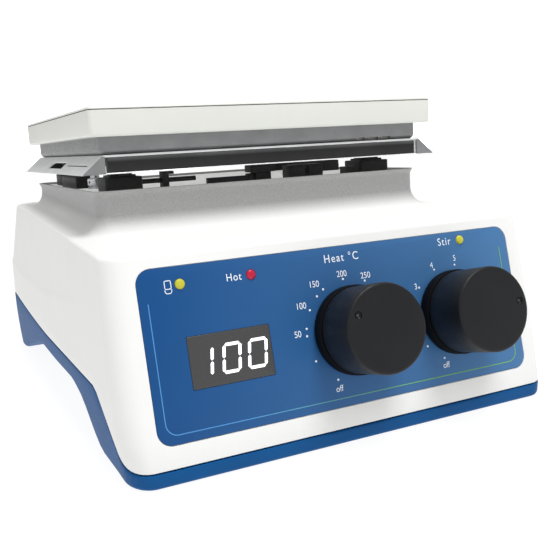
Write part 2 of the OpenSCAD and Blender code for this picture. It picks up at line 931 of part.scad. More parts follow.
module front_board() {
    place() color("darkgreen") on_panel(-2, 31, front_board_h0) centred_box([146, 44, board_t]);
}

// Body of a rotary control behind the panel; the bore of its bushing carries the spindle.
module rotary_control(x) {
    back_t = 1.5;
    body_h0 = inner_h - control_d;
    place() color("silver") on_panel(x, dial_v, 0) difference() {
        union() {
            centred_box([control_w, control_w, control_d], body_h0);
            translate([0, 0, inner_h - overlap]) cylinder(r = bushing_r, h = bushing_h + overlap - inner_h);
        }
        translate([0, 0, body_h0 + back_t])
            cylinder(r = spindle_r + running_gap, h = bushing_h + overlap - body_h0);
    }
}

module rotary_spindle(x) {
    spindle_h0 = inner_h - control_d + 2;
    place() color("silver") on_panel(x, dial_v, spindle_h0)
        cylinder(r = spindle_r, h = knob_face_h - knob_cap_t - spindle_h0);
}

module rotary_nut(x) {
    washer_r = nut_r + 0.8;
    washer_t = 0.5;
    place() color("silver") on_panel(x, dial_v, 0) difference() {
        union() {
            cylinder(r = washer_r, h = washer_t);
            translate([0, 0, washer_t]) cylinder(r = nut_r, h = nut_t - washer_t, $fn = 6);
        }
        translate([0, 0, -overlap]) cylinder(r = bushing_r, h = nut_t + 2 * overlap);
    }
}

module knob(x, angle) {
    place() color([0.2, 0.2, 0.2]) on_panel(x, dial_v, 0) rotate(angle) difference() {
        translate([0, 0, collar_h1]) cylinder(r = knob_r, h = knob_face_h - collar_h1);
        translate([0, 0, collar_h1 - overlap])
            cylinder(r = spindle_r, h = knob_face_h - knob_cap_t + overlap - collar_h1);
        translate([pointer_r, 0, knob_face_h - pointer_hole_d])
            cylinder(r = pointer_hole_r, h = pointer_hole_d + overlap, $fn = 32);
    }
}

module knob_collar(x) {
    place() color("black") on_panel(x, dial_v, 0) difference() {
        translate([0, 0, collar_h0]) cylinder(r = collar_r, h = collar_h1 - collar_h0);
        translate([0, 0, -overlap]) cylinder(r = collar_bore_r, h = collar_h1 + 2 * overlap);
    }
}

module heat_control() { rotary_control(0); }
module heat_spindle() { rotary_spindle(0); }
module heat_nut() { rotary_nut(0); }
module heat_knob() { knob(0, heat_angle); }
module heat_collar() { knob_collar(0); }
module stir_control() { rotary_control(stir_x); }
module stir_spindle() { rotary_spindle(stir_x); }
module stir_nut() { rotary_nut(stir_x); }
module stir_knob() { knob(stir_x, stir_angle); }
module stir_collar() { knob_collar(stir_x); }

// ---- Rear panel ----

module mains_inlet() {
    bay_w = drawer_w + 2 * drawer_gap;
    bay_h = drawer_h + 2 * drawer_gap;
    pin = [2, 14, 4];
    pin_y = body_d + flange_t - socket_deep - overlap + pin[1] / 2;
    pin_places = [[-7, -1.5], [0, 1.5], [7, -1.5]];
    place() color("black") {
        difference() {
            union() {
                rear_box(inlet_x, inlet_z, inlet_w, inlet_h, 0, flange_t);
                rear_box(inlet_x, inlet_z, inlet_body_w - 4 * gap, inlet_body_h - 4 * gap,
                    inlet_deep, flange_t / 2);
            }
            rear_box(socket_x, inlet_z, socket_w, socket_h, socket_deep - flange_t, flange_t + overlap);
            rear_box(drawer_x, inlet_z, bay_w, bay_h, drawer_deep - flange_t, flange_t + overlap);
            for (s = [-1, 1])
                on_rear(inlet_x + s * inlet_screw_dx, inlet_z, -overlap)
                    cylinder(r = inlet_screw_r + 4 * gap, h = flange_t + 2 * overlap);
        }
        for (p = pin_places)
            translate([socket_x + p[0], pin_y, inlet_z + p[1]]) centred_box(pin, -pin[2] / 2);
    }
}

module inlet_screws() {
    head_r = 2.6;
    shank_l = 8;
    place() color("silver") for (s = [-1, 1])
        on_rear(inlet_x + s * inlet_screw_dx, inlet_z) {
            translate([0, 0, flange_t]) cylinder(r = head_r, h = drawer_lip);
            translate([0, 0, -shank_l])
                cylinder(r = inlet_screw_r, h = shank_l + flange_t + drawer_lip / 2);
        }
}

// The drawer has a bay for each fuse, open to the right, and a notch to pull it by.
module fuse_drawer() {
    bay_x = 2.5;
    notch = [8, overlap, 1.6];
    place() color("black")
        translate([drawer_x - drawer_w / 2, drawer_y1 - drawer_deep, inlet_z - drawer_h / 2]) difference() {
            cube([drawer_w, drawer_deep, drawer_h]);
            for (i = [0, 1])
                translate([bay_x, fuse_bay_end, fuse_bay_z + i * fuse_pitch])
                    cube([drawer_w, drawer_deep - fuse_bay_end - fuse_bay_mouth, fuse_bay_h]);
            translate([(drawer_w - notch[0]) / 2, drawer_deep - 0.4, 2]) cube(notch);
        }
}

module fuses() {
    fuse_l = drawer_deep - fuse_bay_end - fuse_bay_mouth - 0.6;
    fuse_y0 = drawer_y1 - drawer_deep + fuse_bay_end + 0.2;
    fuse_z0 = inlet_z - drawer_h / 2 + fuse_bay_z + fuse_bay_h / 2;
    place() color("lightgray") for (i = [0, 1])
        translate([drawer_x + 0.6, fuse_y0, fuse_z0 + i * fuse_pitch])
            rotate([-90, 0, 0]) cylinder(r = fuse_r, h = fuse_l);
}

module probe_socket() {
    body_l = 12;
    place() color("black") on_rear(probe_x, probe_z) difference() {
        union() {
            cylinder(r = probe_r, h = flange_t);
            translate([0, 0, -body_l]) cylinder(r = probe_body_r, h = body_l + flange_t / 2);
        }
        translate([0, 0, -probe_bore_d]) cylinder(r = probe_bore_r, h = probe_bore_d + flange_t + overlap);
    }
}

module rod_pillar() {
    place() color("silver") difference() {
        translate(concat(rod_place, wall)) cylinder(r = rod_pillar_r, h = rod_top_z - wall);
        translate(concat(rod_place, rod_top_z - rod_tap_l))
            cylinder(r = rod_tap_r, h = rod_tap_l + overlap);
    }
}

module rating_plate() {
    place() color("silver") rear_box(-54, 54, 40, 24, 0, 0.4);
}

base_shell();
upper_casing();
rubber_feet();
base_screws();
ceramic_top();
heater_pan();
heat_shield();
heating_element();
mica_sheet();
insulation_pad();
plate_standoffs();
standoff_screws();
side_strips();
earth_post();
thermal_cutout();
heater_terminals();
sensor_sheath();
sensor_clip();
sensor_plug();
heater_leads();
motor_can();
motor_stator();
motor_bearings();
motor_bracket();
motor_grommets();
motor_screws();
motor_rotor();
drive_shaft();
magnet_carrier();
stir_magnets();
main_board();
board_pillars();
transformer();
relay();
heat_sink();
capacitors();
board_connectors();
ribbon_cable();
front_overlay();
display_window();
display_module();
status_lamps();
front_board();
heat_control();
heat_spindle();
heat_nut();
heat_knob();
heat_collar();
stir_control();
stir_spindle();
stir_nut();
stir_knob();
stir_collar();
mains_inlet();
inlet_screws();
fuse_drawer();
fuses();
probe_socket();
rod_pillar();
rating_plate();
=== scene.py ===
"""Looks of the magnetic stirrer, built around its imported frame.

Lengths are millimetres in the frame of the base: x across, y back from its front edge, z up from its underside.
"""
import json
import math

import bmesh
import bpy
import numpy as np
from mathutils import Matrix, Vector


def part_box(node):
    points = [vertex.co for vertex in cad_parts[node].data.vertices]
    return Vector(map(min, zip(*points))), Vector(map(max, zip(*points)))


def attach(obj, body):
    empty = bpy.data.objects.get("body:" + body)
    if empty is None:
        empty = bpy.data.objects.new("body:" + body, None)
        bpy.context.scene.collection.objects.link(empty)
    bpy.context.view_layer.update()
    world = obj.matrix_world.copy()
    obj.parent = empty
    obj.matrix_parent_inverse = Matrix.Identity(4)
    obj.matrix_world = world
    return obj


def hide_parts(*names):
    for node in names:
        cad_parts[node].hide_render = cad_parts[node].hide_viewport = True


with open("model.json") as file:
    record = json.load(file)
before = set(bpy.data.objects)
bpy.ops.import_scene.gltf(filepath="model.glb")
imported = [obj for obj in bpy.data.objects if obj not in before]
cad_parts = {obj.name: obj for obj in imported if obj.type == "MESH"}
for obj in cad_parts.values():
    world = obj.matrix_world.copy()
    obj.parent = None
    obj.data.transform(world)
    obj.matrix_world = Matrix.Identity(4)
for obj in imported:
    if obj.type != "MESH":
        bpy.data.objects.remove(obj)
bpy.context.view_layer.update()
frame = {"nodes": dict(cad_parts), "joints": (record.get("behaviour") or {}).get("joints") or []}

base_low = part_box("base_shell")[0]
SHIFT = np.array([0.0, base_low.y * 1000, base_low.z * 1000])


def box(node):
    """Lowest and highest corner of a CAD node, in the frame of the base."""
    low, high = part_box(node)
    return np.array(low) * 1000 - SHIFT, np.array(high) * 1000 - SHIFT


def rgb(r, g, b):
    """A colour given in 0 to 255 display values, as linear light."""
    out = []
    for c in (r, g, b):
        c /= 255
        out.append(c / 12.92 if c <= 0.04045 else ((c + 0.055) / 1.055) ** 2.4)
    return (*out, 1.0)


# ---------------------------------------------------------------- materials

def link(tree, source, target):
    tree.links.new(source, target)


def noise(tree, coords, scale, detail=3.0, rough=0.55):
    n = tree.nodes.new("ShaderNodeTexNoise")
    n.inputs["Scale"].default_value = scale
    n.inputs["Detail"].default_value = detail
    n.inputs["Roughness"].default_value = rough
    link(tree, coords, n.inputs["Vector"])
    return n.outputs["Fac"]


def ranged(tree, value, low, high, from_low=0.3, from_high=0.7):
    m = tree.nodes.new("ShaderNodeMapRange")
    link(tree, value, m.inputs["Value"])
    m.inputs["From Min"].default_value = from_low
    m.inputs["From Max"].default_value = from_high
    m.inputs["To Min"].default_value = low
    m.inputs["To Max"].default_value = high
    return m.outputs["Result"]


def mixed(tree, fac, a, b, mode="MIX"):
    m = tree.nodes.new("ShaderNodeMix")
    m.data_type = "RGBA"
    m.blend_type = mode
    if isinstance(fac, (int, float)):
        m.inputs["Factor"].default_value = fac
    else:
        link(tree, fac, m.inputs["Factor"])
    for value, socket in ((a, m.inputs["A"]), (b, m.inputs["B"])):
        if isinstance(value, tuple):
            socket.default_value = value
        else:
            link(tree, value, socket)
    return m.outputs["Result"]


mats = {}


def surface(name, colour, rough=0.5, metal=0.0, spec=0.5, grain=900.0, relief=0.04, mottle=0.06,
            mottle_scale=60.0, rough_spread=0.06, stretch=None, glow=0.0, far=None):
    """A finish with fine relief, slight colour mottling and an uneven roughness, kept in mats under its name.
    far is (colour, axis, from, to): the colour that it runs to along an axis, with both ends in millimetres in
    the frame of the base."""
    m = bpy.data.materials.new(name)
    m.use_nodes = True
    tree = m.node_tree
    shader = tree.nodes["Principled BSDF"]
    where = tree.nodes.new("ShaderNodeTexCoord").outputs["Object"]
    fine = where
    if stretch:
        mapping = tree.nodes.new("ShaderNodeMapping")
        mapping.inputs["Scale"].default_value = stretch
        link(tree, where, mapping.inputs["Vector"])
        fine = mapping.outputs["Vector"]
    base = colour
    if far:
        other, axis, start, end = far
        parts = tree.nodes.new("ShaderNodeSeparateXYZ")
        link(tree, where, parts.inputs["Vector"])
        a, b = ((v + SHIFT[axis]) / 1000 for v in (start, end))
        along = ranged(tree, parts.outputs[axis], 0.0, 1.0, a, b)
        base = mixed(tree, along, colour, other)
    shade = ranged(tree, noise(tree, where, mottle_scale), 1 - mottle, 1 + mottle)
    tint = tree.nodes.new("ShaderNodeCombineXYZ")
    for i in range(3):
        link(tree, shade, tint.inputs[i])
    tinted = mixed(tree, 1.0, base, tint.outputs["Vector"], "MULTIPLY")
    link(tree, tinted, shader.inputs["Base Color"])
    grains = noise(tree, fine, grain, 4.0)
    link(tree, ranged(tree, grains, max(rough - rough_spread, 0.02), min(rough + rough_spread, 1.0)),
         shader.inputs["Roughness"])
    bump = tree.nodes.new("ShaderNodeBump")
    bump.inputs["Strength"].default_value = 1.0
    bump.inputs["Distance"].default_value = relief / 1000
    link(tree, grains, bump.inputs["Height"])
    link(tree, bump.outputs["Normal"], shader.inputs["Normal"])
    shader.inputs["Metallic"].default_value = metal
    shader.inputs["Specular IOR Level"].default_value = spec
    if glow:
        link(tree, tinted, shader.inputs["Emission Color"])
        shader.inputs["Emission Strength"].default_value = glow
    mats[name] = m
    return m


def casing_paint_and_shade():
    """White cast casing, textured grey on the neck above its shoulder; the grey is partly painted shade under
    the heated top, and its fade down the fillet onto the shoulder is painted shade.
    """
    m = surface("casing_white", rgb(246, 246, 244), 0.48, spec=0.3, grain=1500, relief=0.03, mottle=0.012,
                mottle_scale=40)
    tree = m.node_tree
    shader = tree.nodes["Principled BSDF"]
    where = tree.nodes.new("ShaderNodeTexCoord").outputs["Object"]
    parts = tree.nodes.new("ShaderNodeSeparateXYZ")
    link(tree, where, parts.inputs["Vector"])
    slope = tree.nodes.new("ShaderNodeMath")
    slope.operation = "MULTIPLY_ADD"
    link(tree, parts.outputs["Y"], slope.inputs[0])
    slope.inputs[1].default_value = -SHOULDER_RISE
    link(tree, parts.outputs["Z"], slope.inputs[2])
    plane = (SHOULDER_Z + SHIFT[2] - SHOULDER_RISE * SHIFT[1]) / 1000
    # mask of the neck's grey: partly painted shade, and its fade over the fillet is painted shade
    neck = ranged(tree, slope.outputs["Value"], 0.0, 1.0, plane + 0.0001, plane + 0.0068)
    speckle = ranged(tree, noise(tree, where, 2200, 5.0, 0.7), 0.82, 1.18)
    grey = tree.nodes.new("ShaderNodeCombineXYZ")
    for i, level in enumerate(rgb(171, 171, 171)[:3]):
        times = tree.nodes.new("ShaderNodeMath")
        times.operation = "MULTIPLY"
        link(tree, speckle, times.inputs[0])
        times.inputs[1].default_value = level
        link(tree, times.outputs["Value"], grey.inputs[i])
    white = shader.inputs["Base Color"].links[0].from_socket
    link(tree, mixed(tree, neck, white, grey.outputs["Vector"]), shader.inputs["Base Color"])


# ---------------------------------------------------------------- meshes

class Place:
    """Where a piece is built: its origin and its three directions, in the frame of the base."""

    def __init__(self, origin, across=(1, 0, 0), along=(0, 1, 0), out=(0, 0, 1)):
        self.origin = np.array(origin, float)
        self.axes = np.array([across, along, out], float)

    def __call__(self, points):
        return self.origin + np.asarray(points, float) @ self.axes


def flat(x=0, y=0, z=0):
    return Place((x, y, z))


def faces_of(count, size, closed=True):
    """Quads between count loops of size points each."""
    found = []
    for i in range(count - 1):
        for j in range(size if closed else size - 1):
            k = (j + 1) % size
            found.append((i * size + j, i * size + k, (i + 1) * size + k, (i + 1) * size + j))
    return found


def loft(loops, start=False, end=False):
    """Skin over loops of equal size, with a flat cap at either end if asked."""
    size = len(loops[0])
    faces = faces_of(len(loops), size)
    if start:
        faces.append(tuple(reversed(range(size))))
    if end:
        faces.append(tuple(range((len(loops) - 1) * size, len(loops) * size)))
    return np.vstack(loops), faces


def joined(*parts):
    """Several (points, faces) as one."""
    points, faces, count = [], [], 0
    for p, f in parts:
        points.append(p)
        faces += [tuple(i + count for i in face) for face in f]
        count += len(p)
    return np.vstack(points), faces


def piece(name, shape, material, smooth=30):
    """One mesh from (points, faces), welded, with its faces turned outwards and shaded smooth up to an angle."""
    points, faces = shape
    mesh = bpy.data.meshes.new(name)
    mesh.from_pydata(((points + SHIFT) / 1000).tolist(), [], faces)
    bm = bmesh.new()
    bm.from_mesh(mesh)
    bmesh.ops.remove_doubles(bm, verts=bm.verts, dist=2e-6)
    bmesh.ops.dissolve_degenerate(bm, edges=bm.edges, dist=1e-6)
    bmesh.ops.recalc_face_normals(bm, faces=bm.faces)
    bm.to_mesh(mesh)
    bm.free()
    obj = bpy.data.objects.new(name, mesh)
    bpy.context.scene.collection.objects.link(obj)
    finish_mesh(obj, material, smooth)
    return obj


def finish_mesh(obj, material, smooth):
    obj.data.materials.clear()
    obj.data.materials.append(material)
    obj.data.shade_smooth()
    obj.data.set_sharp_from_angle(angle=math.radians(smooth))


def cut(obj, shapes, smooth=30, operation="DIFFERENCE"):
    """Takes closed shapes away from a piece, or merges them into it with the operation UNION."""
    material = obj.data.materials[0]
    tools = [piece(f"cutter_{i}", s, material) for i, s in enumerate(shapes)]
    for tool in tools:
        mod = obj.modifiers.new(tool.name, "BOOLEAN")
        mod.operation = operation
        mod.solver = "EXACT"
        mod.object = tool
    made = bpy.data.meshes.new_from_object(obj.evaluated_get(bpy.context.evaluated_depsgraph_get()))
    obj.modifiers.clear()
    obj.data = made
    for tool in tools:
        bpy.data.objects.remove(tool)
    finish_mesh(obj, material, smooth)
    return obj


def rounded(w, l, r, steps=6):
    """Outline of a rounded rectangle about the origin."""
    r = max(min(r, w / 2 - 0.01, l / 2 - 0.01), 0.01)
    out = []
    for cx, cy, start in ((w / 2 - r, l / 2 - r, 0), (-w / 2 + r, l / 2 - r, 90),
                          (-w / 2 + r, -l / 2 + r, 180), (w / 2 - r, -l / 2 + r, 270)):
        for i in range(steps + 1):
            a = math.radians(start + 90 * i / steps)
            out.append((cx + r * math.cos(a), cy + r * math.sin(a)))
    return np.array(out)


def level(outline, z):
    return np.column_stack([outline, np.full(len(outline), z)])


def stack(w, l, r, profile, place, steps=6, start=True, end=True):
    """A rounded rectangle drawn through (inset, height) pairs."""
    loops = [level(rounded(w - 2 * d, l - 2 * d, r - d, steps), z) for d, z in profile]
    return loft([place(p) for p in loops], start, end)


def arc(d0, z0, d1, z1, steps=4, hollow=False):
    """(inset, height) pairs round a quarter turn between two points, the first and last included."""
    out = []
    for i in range(steps + 1):
        t = math.pi / 2 * i / steps
        u, v = (math.sin(t), 1 - math.cos(t)) if hollow else (1 - math.cos(t), math.sin(t))
        out.append((d0 + (d1 - d0) * u, z0 + (z1 - z0) * v))
    return out


def slab(w, l, r, z0, z1, low, high, place, steps=6):
    """A rounded plate with rounded lower and upper edges."""
    lower = [(low - a, b) for a, b in arc(0, 0, low, low, 3, True)]
    profile = [(d, z0 + z) for d, z in lower] if low else [(0, z0)]
    profile += [(d, z1 - high + z) for d, z in arc(0, 0, high, high, 3)] if high else [(0, z1)]
    return stack(w, l, r, profile, place, steps)


def turned(profile, place, sides=64):
    """A solid of revolution about the place's own out direction, from (radius, height) pairs."""
    angles = np.linspace(0, 2 * math.pi, sides, endpoint=False)
    loops = [np.column_stack([r * np.cos(angles), r * np.sin(angles), np.full(sides, z)]) for r, z in profile]
    closed = profile[0] == profile[-1]
    return loft([place(p) for p in loops], not closed and profile[0][0] > 0, not closed and profile[-1][0] > 0)


def rod(r, z0, z1, place, sides=48):
    return turned([(r, z0), (r, z1)], place, sides)


def block(x0, x1, y0, y1, z0, z1, bevel):
    """A box with rounded edges."""
    move = Place(((x0 + x1) / 2, (y0 + y1) / 2, 0))
    w, l = x1 - x0, y1 - y0
    b = min(bevel, (z1 - z0) / 2.5, w / 2.5, l / 2.5)
    return slab(w, l, b, z0, z1, b, b, move, 3)


def show(obj, slot, *nodes, body="housing"):
    """Puts a piece on its body, in place of CAD nodes; slot is not used."""
    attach(obj, body)
    if nodes:
        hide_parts(*nodes)


# ---------------------------------------------------------------- the casing's and base's shape

SHOULDER_Z, SHOULDER_RISE = 70.5, 0.0325
overlay_low, overlay_high = box("front_overlay")
joints = {j["name"]: j for j in frame["joints"]}
dial_place = {n: np.array(joints[n]["pos_m"]) * 1000 - SHIFT for n in ("heat_dial_turn", "stir_dial_turn")}
OUT = np.array(joints["heat_dial_turn"]["axis"], float)
UP = np.array([0.0, OUT[2], -OUT[1]])
# up the panel: the middle of both dials, and the middle and height of the overlay
DIAL_V, OVERLAY_V, OVERLAY_H = 25.8, 28, 56
panel_origin = dial_place["heat_dial_turn"] - DIAL_V * UP
TILT = OUT[2] / -OUT[1]
FRONT_LINE = panel_origin[1] - TILT * panel_origin[2]


def panel(x=0, v=0, h=0):
    """A place on the front panel: across it, up it, and out from it."""
    return Place(panel_origin + np.array([x, 0, 0]) + v * UP + h * OUT, (1, 0, 0), UP, OUT)


def rear(x, z):
    """A place on the rear face, facing out of it."""
    return Place((x, DEPTH, z), (1, 0, 0), (0, 0, 1), (0, 1, 0))


FRONT_STEPS, CORNER_STEPS, SIDE_STEPS = 12, 10, 40
CORNER_X, CORNER_Y = 8.0, 11.0
DEPTH = box("base_shell")[1][1]
REAR_CORNER = 14
# the small ledge along the crease: how far it stands out, and over what height it fades
LEDGE, LEDGE_RISE = 0.45, 1.3
# how far the base's front edge hangs below the CAD base
FRONT_LIP = 0.8
# distances back, and the height at each: the crease along the side, and the arched underside
CREASE = ([-20, 11, 20, 34, 69, 114, 154, 193, 219, 232], [72, 71, 61, 54.1, 49.4, 44.9, 43.9, 44.6, 48.4, 53])
UNDER = ([0, 42, 60, 75, 110, 139, 158, 194, 206, 213, 232],
         [0, 0, 13.4, 16.9, 16.3, 16.8, 13.9, 4.6, 0.7, 0, 0])


def shoulder(y):
    return SHOULDER_Z + SHOULDER_RISE * y


def crease(y):
    return np.interp(y, *CREASE)


def underside(y):
    """The height of the base's underside, eased where it turns."""
    near = [np.interp(np.asarray(y) + d, *UNDER) for d in (-4, -2, 0, 2, 4)]
    eased = np.mean(near, axis=0)
    return np.where(np.asarray(y) < 36, 0, eased) - FRONT_LIP * np.clip((50 - np.asarray(y)) / 14, 0, 1)


def half_width(y, z):
    b = np.clip((y - 20) / 197, 0, 1)
    above = np.maximum(z - crease(y), 0)
    lean = (0.03 - 0.005 * b) * np.maximum(z - 28, 0) + (0.02 + 0.13 * b) * above
    ledge = LEDGE * np.sqrt(b) * np.minimum(above / LEDGE_RISE, 1)
    return 86.3 + 3.7 * b - lean - ledge - 1.5 * (np.maximum(28 - z, 0) / 28) ** 2


def front(z):
    return np.maximum(FRONT_LINE + TILT * z, 0)


def seam(x, y):
    """The line between base and casing: low across the front, up round the corner, then along the side."""
    run = y + 0.8 * (np.abs(x) - 86)
    climb = 11.7 + 0.70 * (run - 17.6)
    low = 4.5 + 2.5 * np.log1p(np.exp(np.clip((climb - 4.5) / 2.5, -30, 30)))
    side = 24.5 + 6.5 * (np.maximum(y - 120, 0) / 104) ** 1.5
    k = 0.8
    return -k * np.log(np.exp(-np.minimum(low, 60) / k) + np.exp(-side / k))


def turns(start, end):
    return np.linspace(start, end, CORNER_STEPS + 1)[1:]


def body_half(z, inset):
    """Right half of the body's outline at height z (a number, or one for each point), from front to rear."""
    rx, ry, rr = CORNER_X - inset, CORNER_Y - inset, REAR_CORNER - inset
    a = turns(0, math.pi / 2)
    y_corner, off_corner = CORNER_Y - ry * np.cos(a), rx * (1 - np.sin(a))
    y_side = np.linspace(CORNER_Y, DEPTH - REAR_CORNER, SIDE_STEPS + 1)[1:]
    y_rear, off_rear = DEPTH - REAR_CORNER + rr * np.sin(a), rr * (1 - np.cos(a))
    y0 = np.concatenate([np.full(FRONT_STEPS + 1, inset), y_corner, y_side, y_rear,
                         np.full(FRONT_STEPS, DEPTH - inset)])
    off = np.concatenate([np.full(FRONT_STEPS + 1, rx), off_corner, np.zeros(SIDE_STEPS), off_rear,
                          np.full(FRONT_STEPS, rr)])
    share = np.concatenate([np.linspace(0, 1, FRONT_STEPS + 1), np.ones(2 * CORNER_STEPS + SIDE_STEPS),
                            np.linspace(1, 0, FRONT_STEPS + 1)[1:]])
    z = np.broadcast_to(np.asarray(z, float), y0.shape)
    x = (half_width(y0, z) - inset - off) * share
    return x, y0 + front(z) * np.maximum(1 - y0 / 60, 0)


def body_loop(height, inset=0.0):
    """A loop round the body. height is a function of x and y, and inset is how far inside the outline it is."""
    x, y = body_half(30.0, inset)
    for _ in range(3):
        z = height(x, y) + 0 * x
        x, y = body_half(z, inset)
    return mirrored_loop(x, y, z)


def neck_loop(height, out=0.0):
    """A loop round the neck, out millimetres outside its wall."""
    hw, y0, y1, r = NECK_X + out, NECK_Y0 - out, NECK_Y1 + out, max(5 + out, 0.6)
    a = turns(0, math.pi / 2)
    x = np.concatenate([np.linspace(0, hw - r, FRONT_STEPS + 1), hw - r * (1 - np.sin(a)),
                        np.full(SIDE_STEPS, hw), hw - r * (1 - np.cos(a)),
                        np.linspace(hw - r, 0, FRONT_STEPS + 1)[1:]])
    y = np.concatenate([np.full(FRONT_STEPS + 1, y0), y0 + r * (1 - np.cos(a)),
                        np.linspace(y0 + r, y1 - r, SIDE_STEPS + 1)[1:], y1 - r * (1 - np.sin(a)),
                        np.full(FRONT_STEPS, y1)])
    return mirrored_loop(x, y, height(x, y) + 0 * x)


def mirrored_loop(x, y, z):
    right = np.column_stack([x, y, z])
    left = right[-2:0:-1] * [-1, 1, 1]
    return np.vstack([right, left])


def sheet_over(loop):
    """A grid that fills one of these loops from side to side."""
    right = loop[FRONT_STEPS:FRONT_STEPS + 2 * CORNER_STEPS + SIDE_STEPS + 1]
    share = np.linspace(-1, 1, 2 * FRONT_STEPS + 1)
    rows = [np.column_stack([p[0] * share, np.full(len(share), p[1]), np.full(len(share), p[2])]) for p in right]
    return np.vstack(rows), faces_of(len(rows), len(share), False)


NECK_X, NECK_Y0, NECK_Y1 = 72.5, 69.0, 203.0
DECK_Z = box("plate_standoffs")[0][2]
RIM_Z = box("upper_casing")[1][2]
FILLET = 8.0
BASE_EDGE = 1.6


def build_base():
    def rim(x, y):
        return seam(x, y) - 0.25

    loops = [body_loop(lambda x, y: underside(y) + 2.5, 2.55), body_loop(lambda x, y: rim(x, y) + 3, 2.55),
             body_loop(lambda x, y: rim(x, y) + 3, 1.5), body_loop(rim, 1.5),
             body_loop(rim, 0.45), body_loop(lambda x, y: rim(x, y) - 0.13, 0.13),
             body_loop(lambda x, y: rim(x, y) - 0.45)]

    def radius(x, y):
        return np.minimum(BASE_EDGE, 0.62 * (seam(x, y) - underside(y)))
    for t in (0.25, 0.5, 0.75):
        loops.append(body_loop(lambda x, y, t=t: (rim(x, y) - 0.45) * (1 - t)
                               + (underside(y) + radius(x, y)) * t))
    for i in range(7):
        a = math.pi / 2 * i / 6
        inset = BASE_EDGE * (1 - math.cos(a))
        loops.append(body_loop(lambda x, y, a=a: underside(y) + radius(x, y) * (1 - math.sin(a)), inset))
    shape = joined(loft(loops), sheet_over(loops[-1]), sheet_over(loops[0]))
    obj = piece("base", shape, mats["base_blue"])
    slots = [slab(46, 3, 1.49, 8, 24, 0, 0, flat(0, 96.3 + 8 * i)) for i in range(5)]
    holes = [rod(3.4, -1, 1.1, flat(s * x, y)) for s in (-1, 1) for x, y in ((76, 30), (78, 214))]
    return cut(obj, slots + holes)


def build_casing():
    def low(x, y):
        return seam(x, y) + 0.25

    def turn(x, y):
        return np.minimum(crease(y), shoulder(y) - 4)
    edge, ease = 1.3, LEDGE_RISE
    inner_top = 2.6
    loops = [neck_loop(lambda x, y: 0 * x + DECK_Z - 2, -2.5),
             neck_loop(lambda x, y: shoulder(y) - inner_top, -2.5),
             body_loop(lambda x, y: shoulder(y) - inner_top, 2.6), body_loop(lambda x, y: low(x, y) + 3.4, 2.6),
             body_loop(lambda x, y: low(x, y) + 3.4, 1.2), body_loop(low, 1.2),
             body_loop(low, 0.5), body_loop(lambda x, y: low(x, y) + 0.15, 0.15),
             body_loop(lambda x, y: low(x, y) + 0.55)]
    for t in np.linspace(0, 1, 8)[1:]:
        loops.append(body_loop(lambda x, y, t=t: (low(x, y) + 0.55) * (1 - t) + (turn(x, y) - ease) * t))
    loops.append(body_loop(turn))
    for t in np.linspace(0, 1, 7):
        loops.append(body_loop(lambda x, y, t=t: (turn(x, y) + ease) * (1 - t) + (shoulder(y) - edge) * t))
    for i in range(1, 7):
        a = math.pi / 2 * i / 6
        loops.append(body_loop(lambda x, y, a=a: shoulder(y) - edge * (1 - math.sin(a)),
                               edge * (1 - math.cos(a))))
    for i in range(9):
        a = math.pi / 2 * i / 8
        loops.append(neck_loop(lambda x, y, a=a: shoulder(y) + FILLET * (1 - math.cos(a)),
                               FILLET * (1 - math.sin(a))))
    for out, z in ((0, -2.6), (0.12, -1.9), (0.45, -1.2), (0.8, -0.7), (1.0, -0.3), (0.95, -0.05),
                   (0.7, 0), (0.2, -0.05), (-0.1, -0.3), (-0.4, DECK_Z - RIM_Z)):
        loops.append(neck_loop(lambda x, y, z=z: 0 * x + RIM_Z + z, out))
    shape = joined(loft(loops), sheet_over(loops[-1]), sheet_over(loops[0]))
    obj = piece("casing", shape, mats["casing_white"])
    width = overlay_high[0] - overlay_low[0]
    cutters = [slab(width + 0.4, OVERLAY_H + 0.4, 5.2, -0.65, 4, 0, 0, panel(0, OVERLAY_V))]
    cutters += [rod(5.2, -12, 4, panel(x, DIAL_V)) for x in (0, STIR_X)]
    cutters += [slab(30.4, 18.3, 0.5, -12, 4, 0, 0, panel(*WINDOW))]
    cutters += [rod(1.8, -12, 4, panel(x, v), 24) for x, v in LAMPS]
    cutters += [slab(48.2, 25.2, 0.5, -6, 6, 0, 0, rear(*INLET)),
                rod(6.5, -6, 6, rear(*PROBE)),
                rod(6.0, -6, 6, flat(*ROD, shoulder(ROD[1])))]
    cutters += [rod(1.3, -6, 6, rear(INLET[0] + s * INLET_SCREW_X, INLET[1]), 20) for s in (-1, 1)]
    return cut(obj, cutters)


# ---------------------------------------------------------------- places taken from the frame

def middle(node):
    low, high = box(node)
    return (low + high) / 2


def panel_spot(node):
    """Where a node's middle lies on the panel: across it and up it."""
    c = middle(node) - panel_origin
    return c[0], float(c @ UP)


WINDOW = panel_spot("display_window")
LAMPS = ((-60.7, 50.1), (-35.7, 50.1), (52.6, 52.7))
INLET = (middle("mains_inlet")[0], middle("mains_inlet")[2])
PROBE = (middle("probe_socket")[0], middle("probe_socket")[2])
ROD = [round(v, 1) for v in middle("rod_pillar")[:2]]
SOCKET_X = round(INLET[0] - 10.5, 1)
INLET_SCREW_X = 25.6
FOOT_R = 8
DIMPLE_R = 11.9
DRAWER_X = middle("fuse_drawer")[0]

STIR_X = dial_place["stir_dial_turn"][0]
PLATE_Y = middle("ceramic_top")[1]

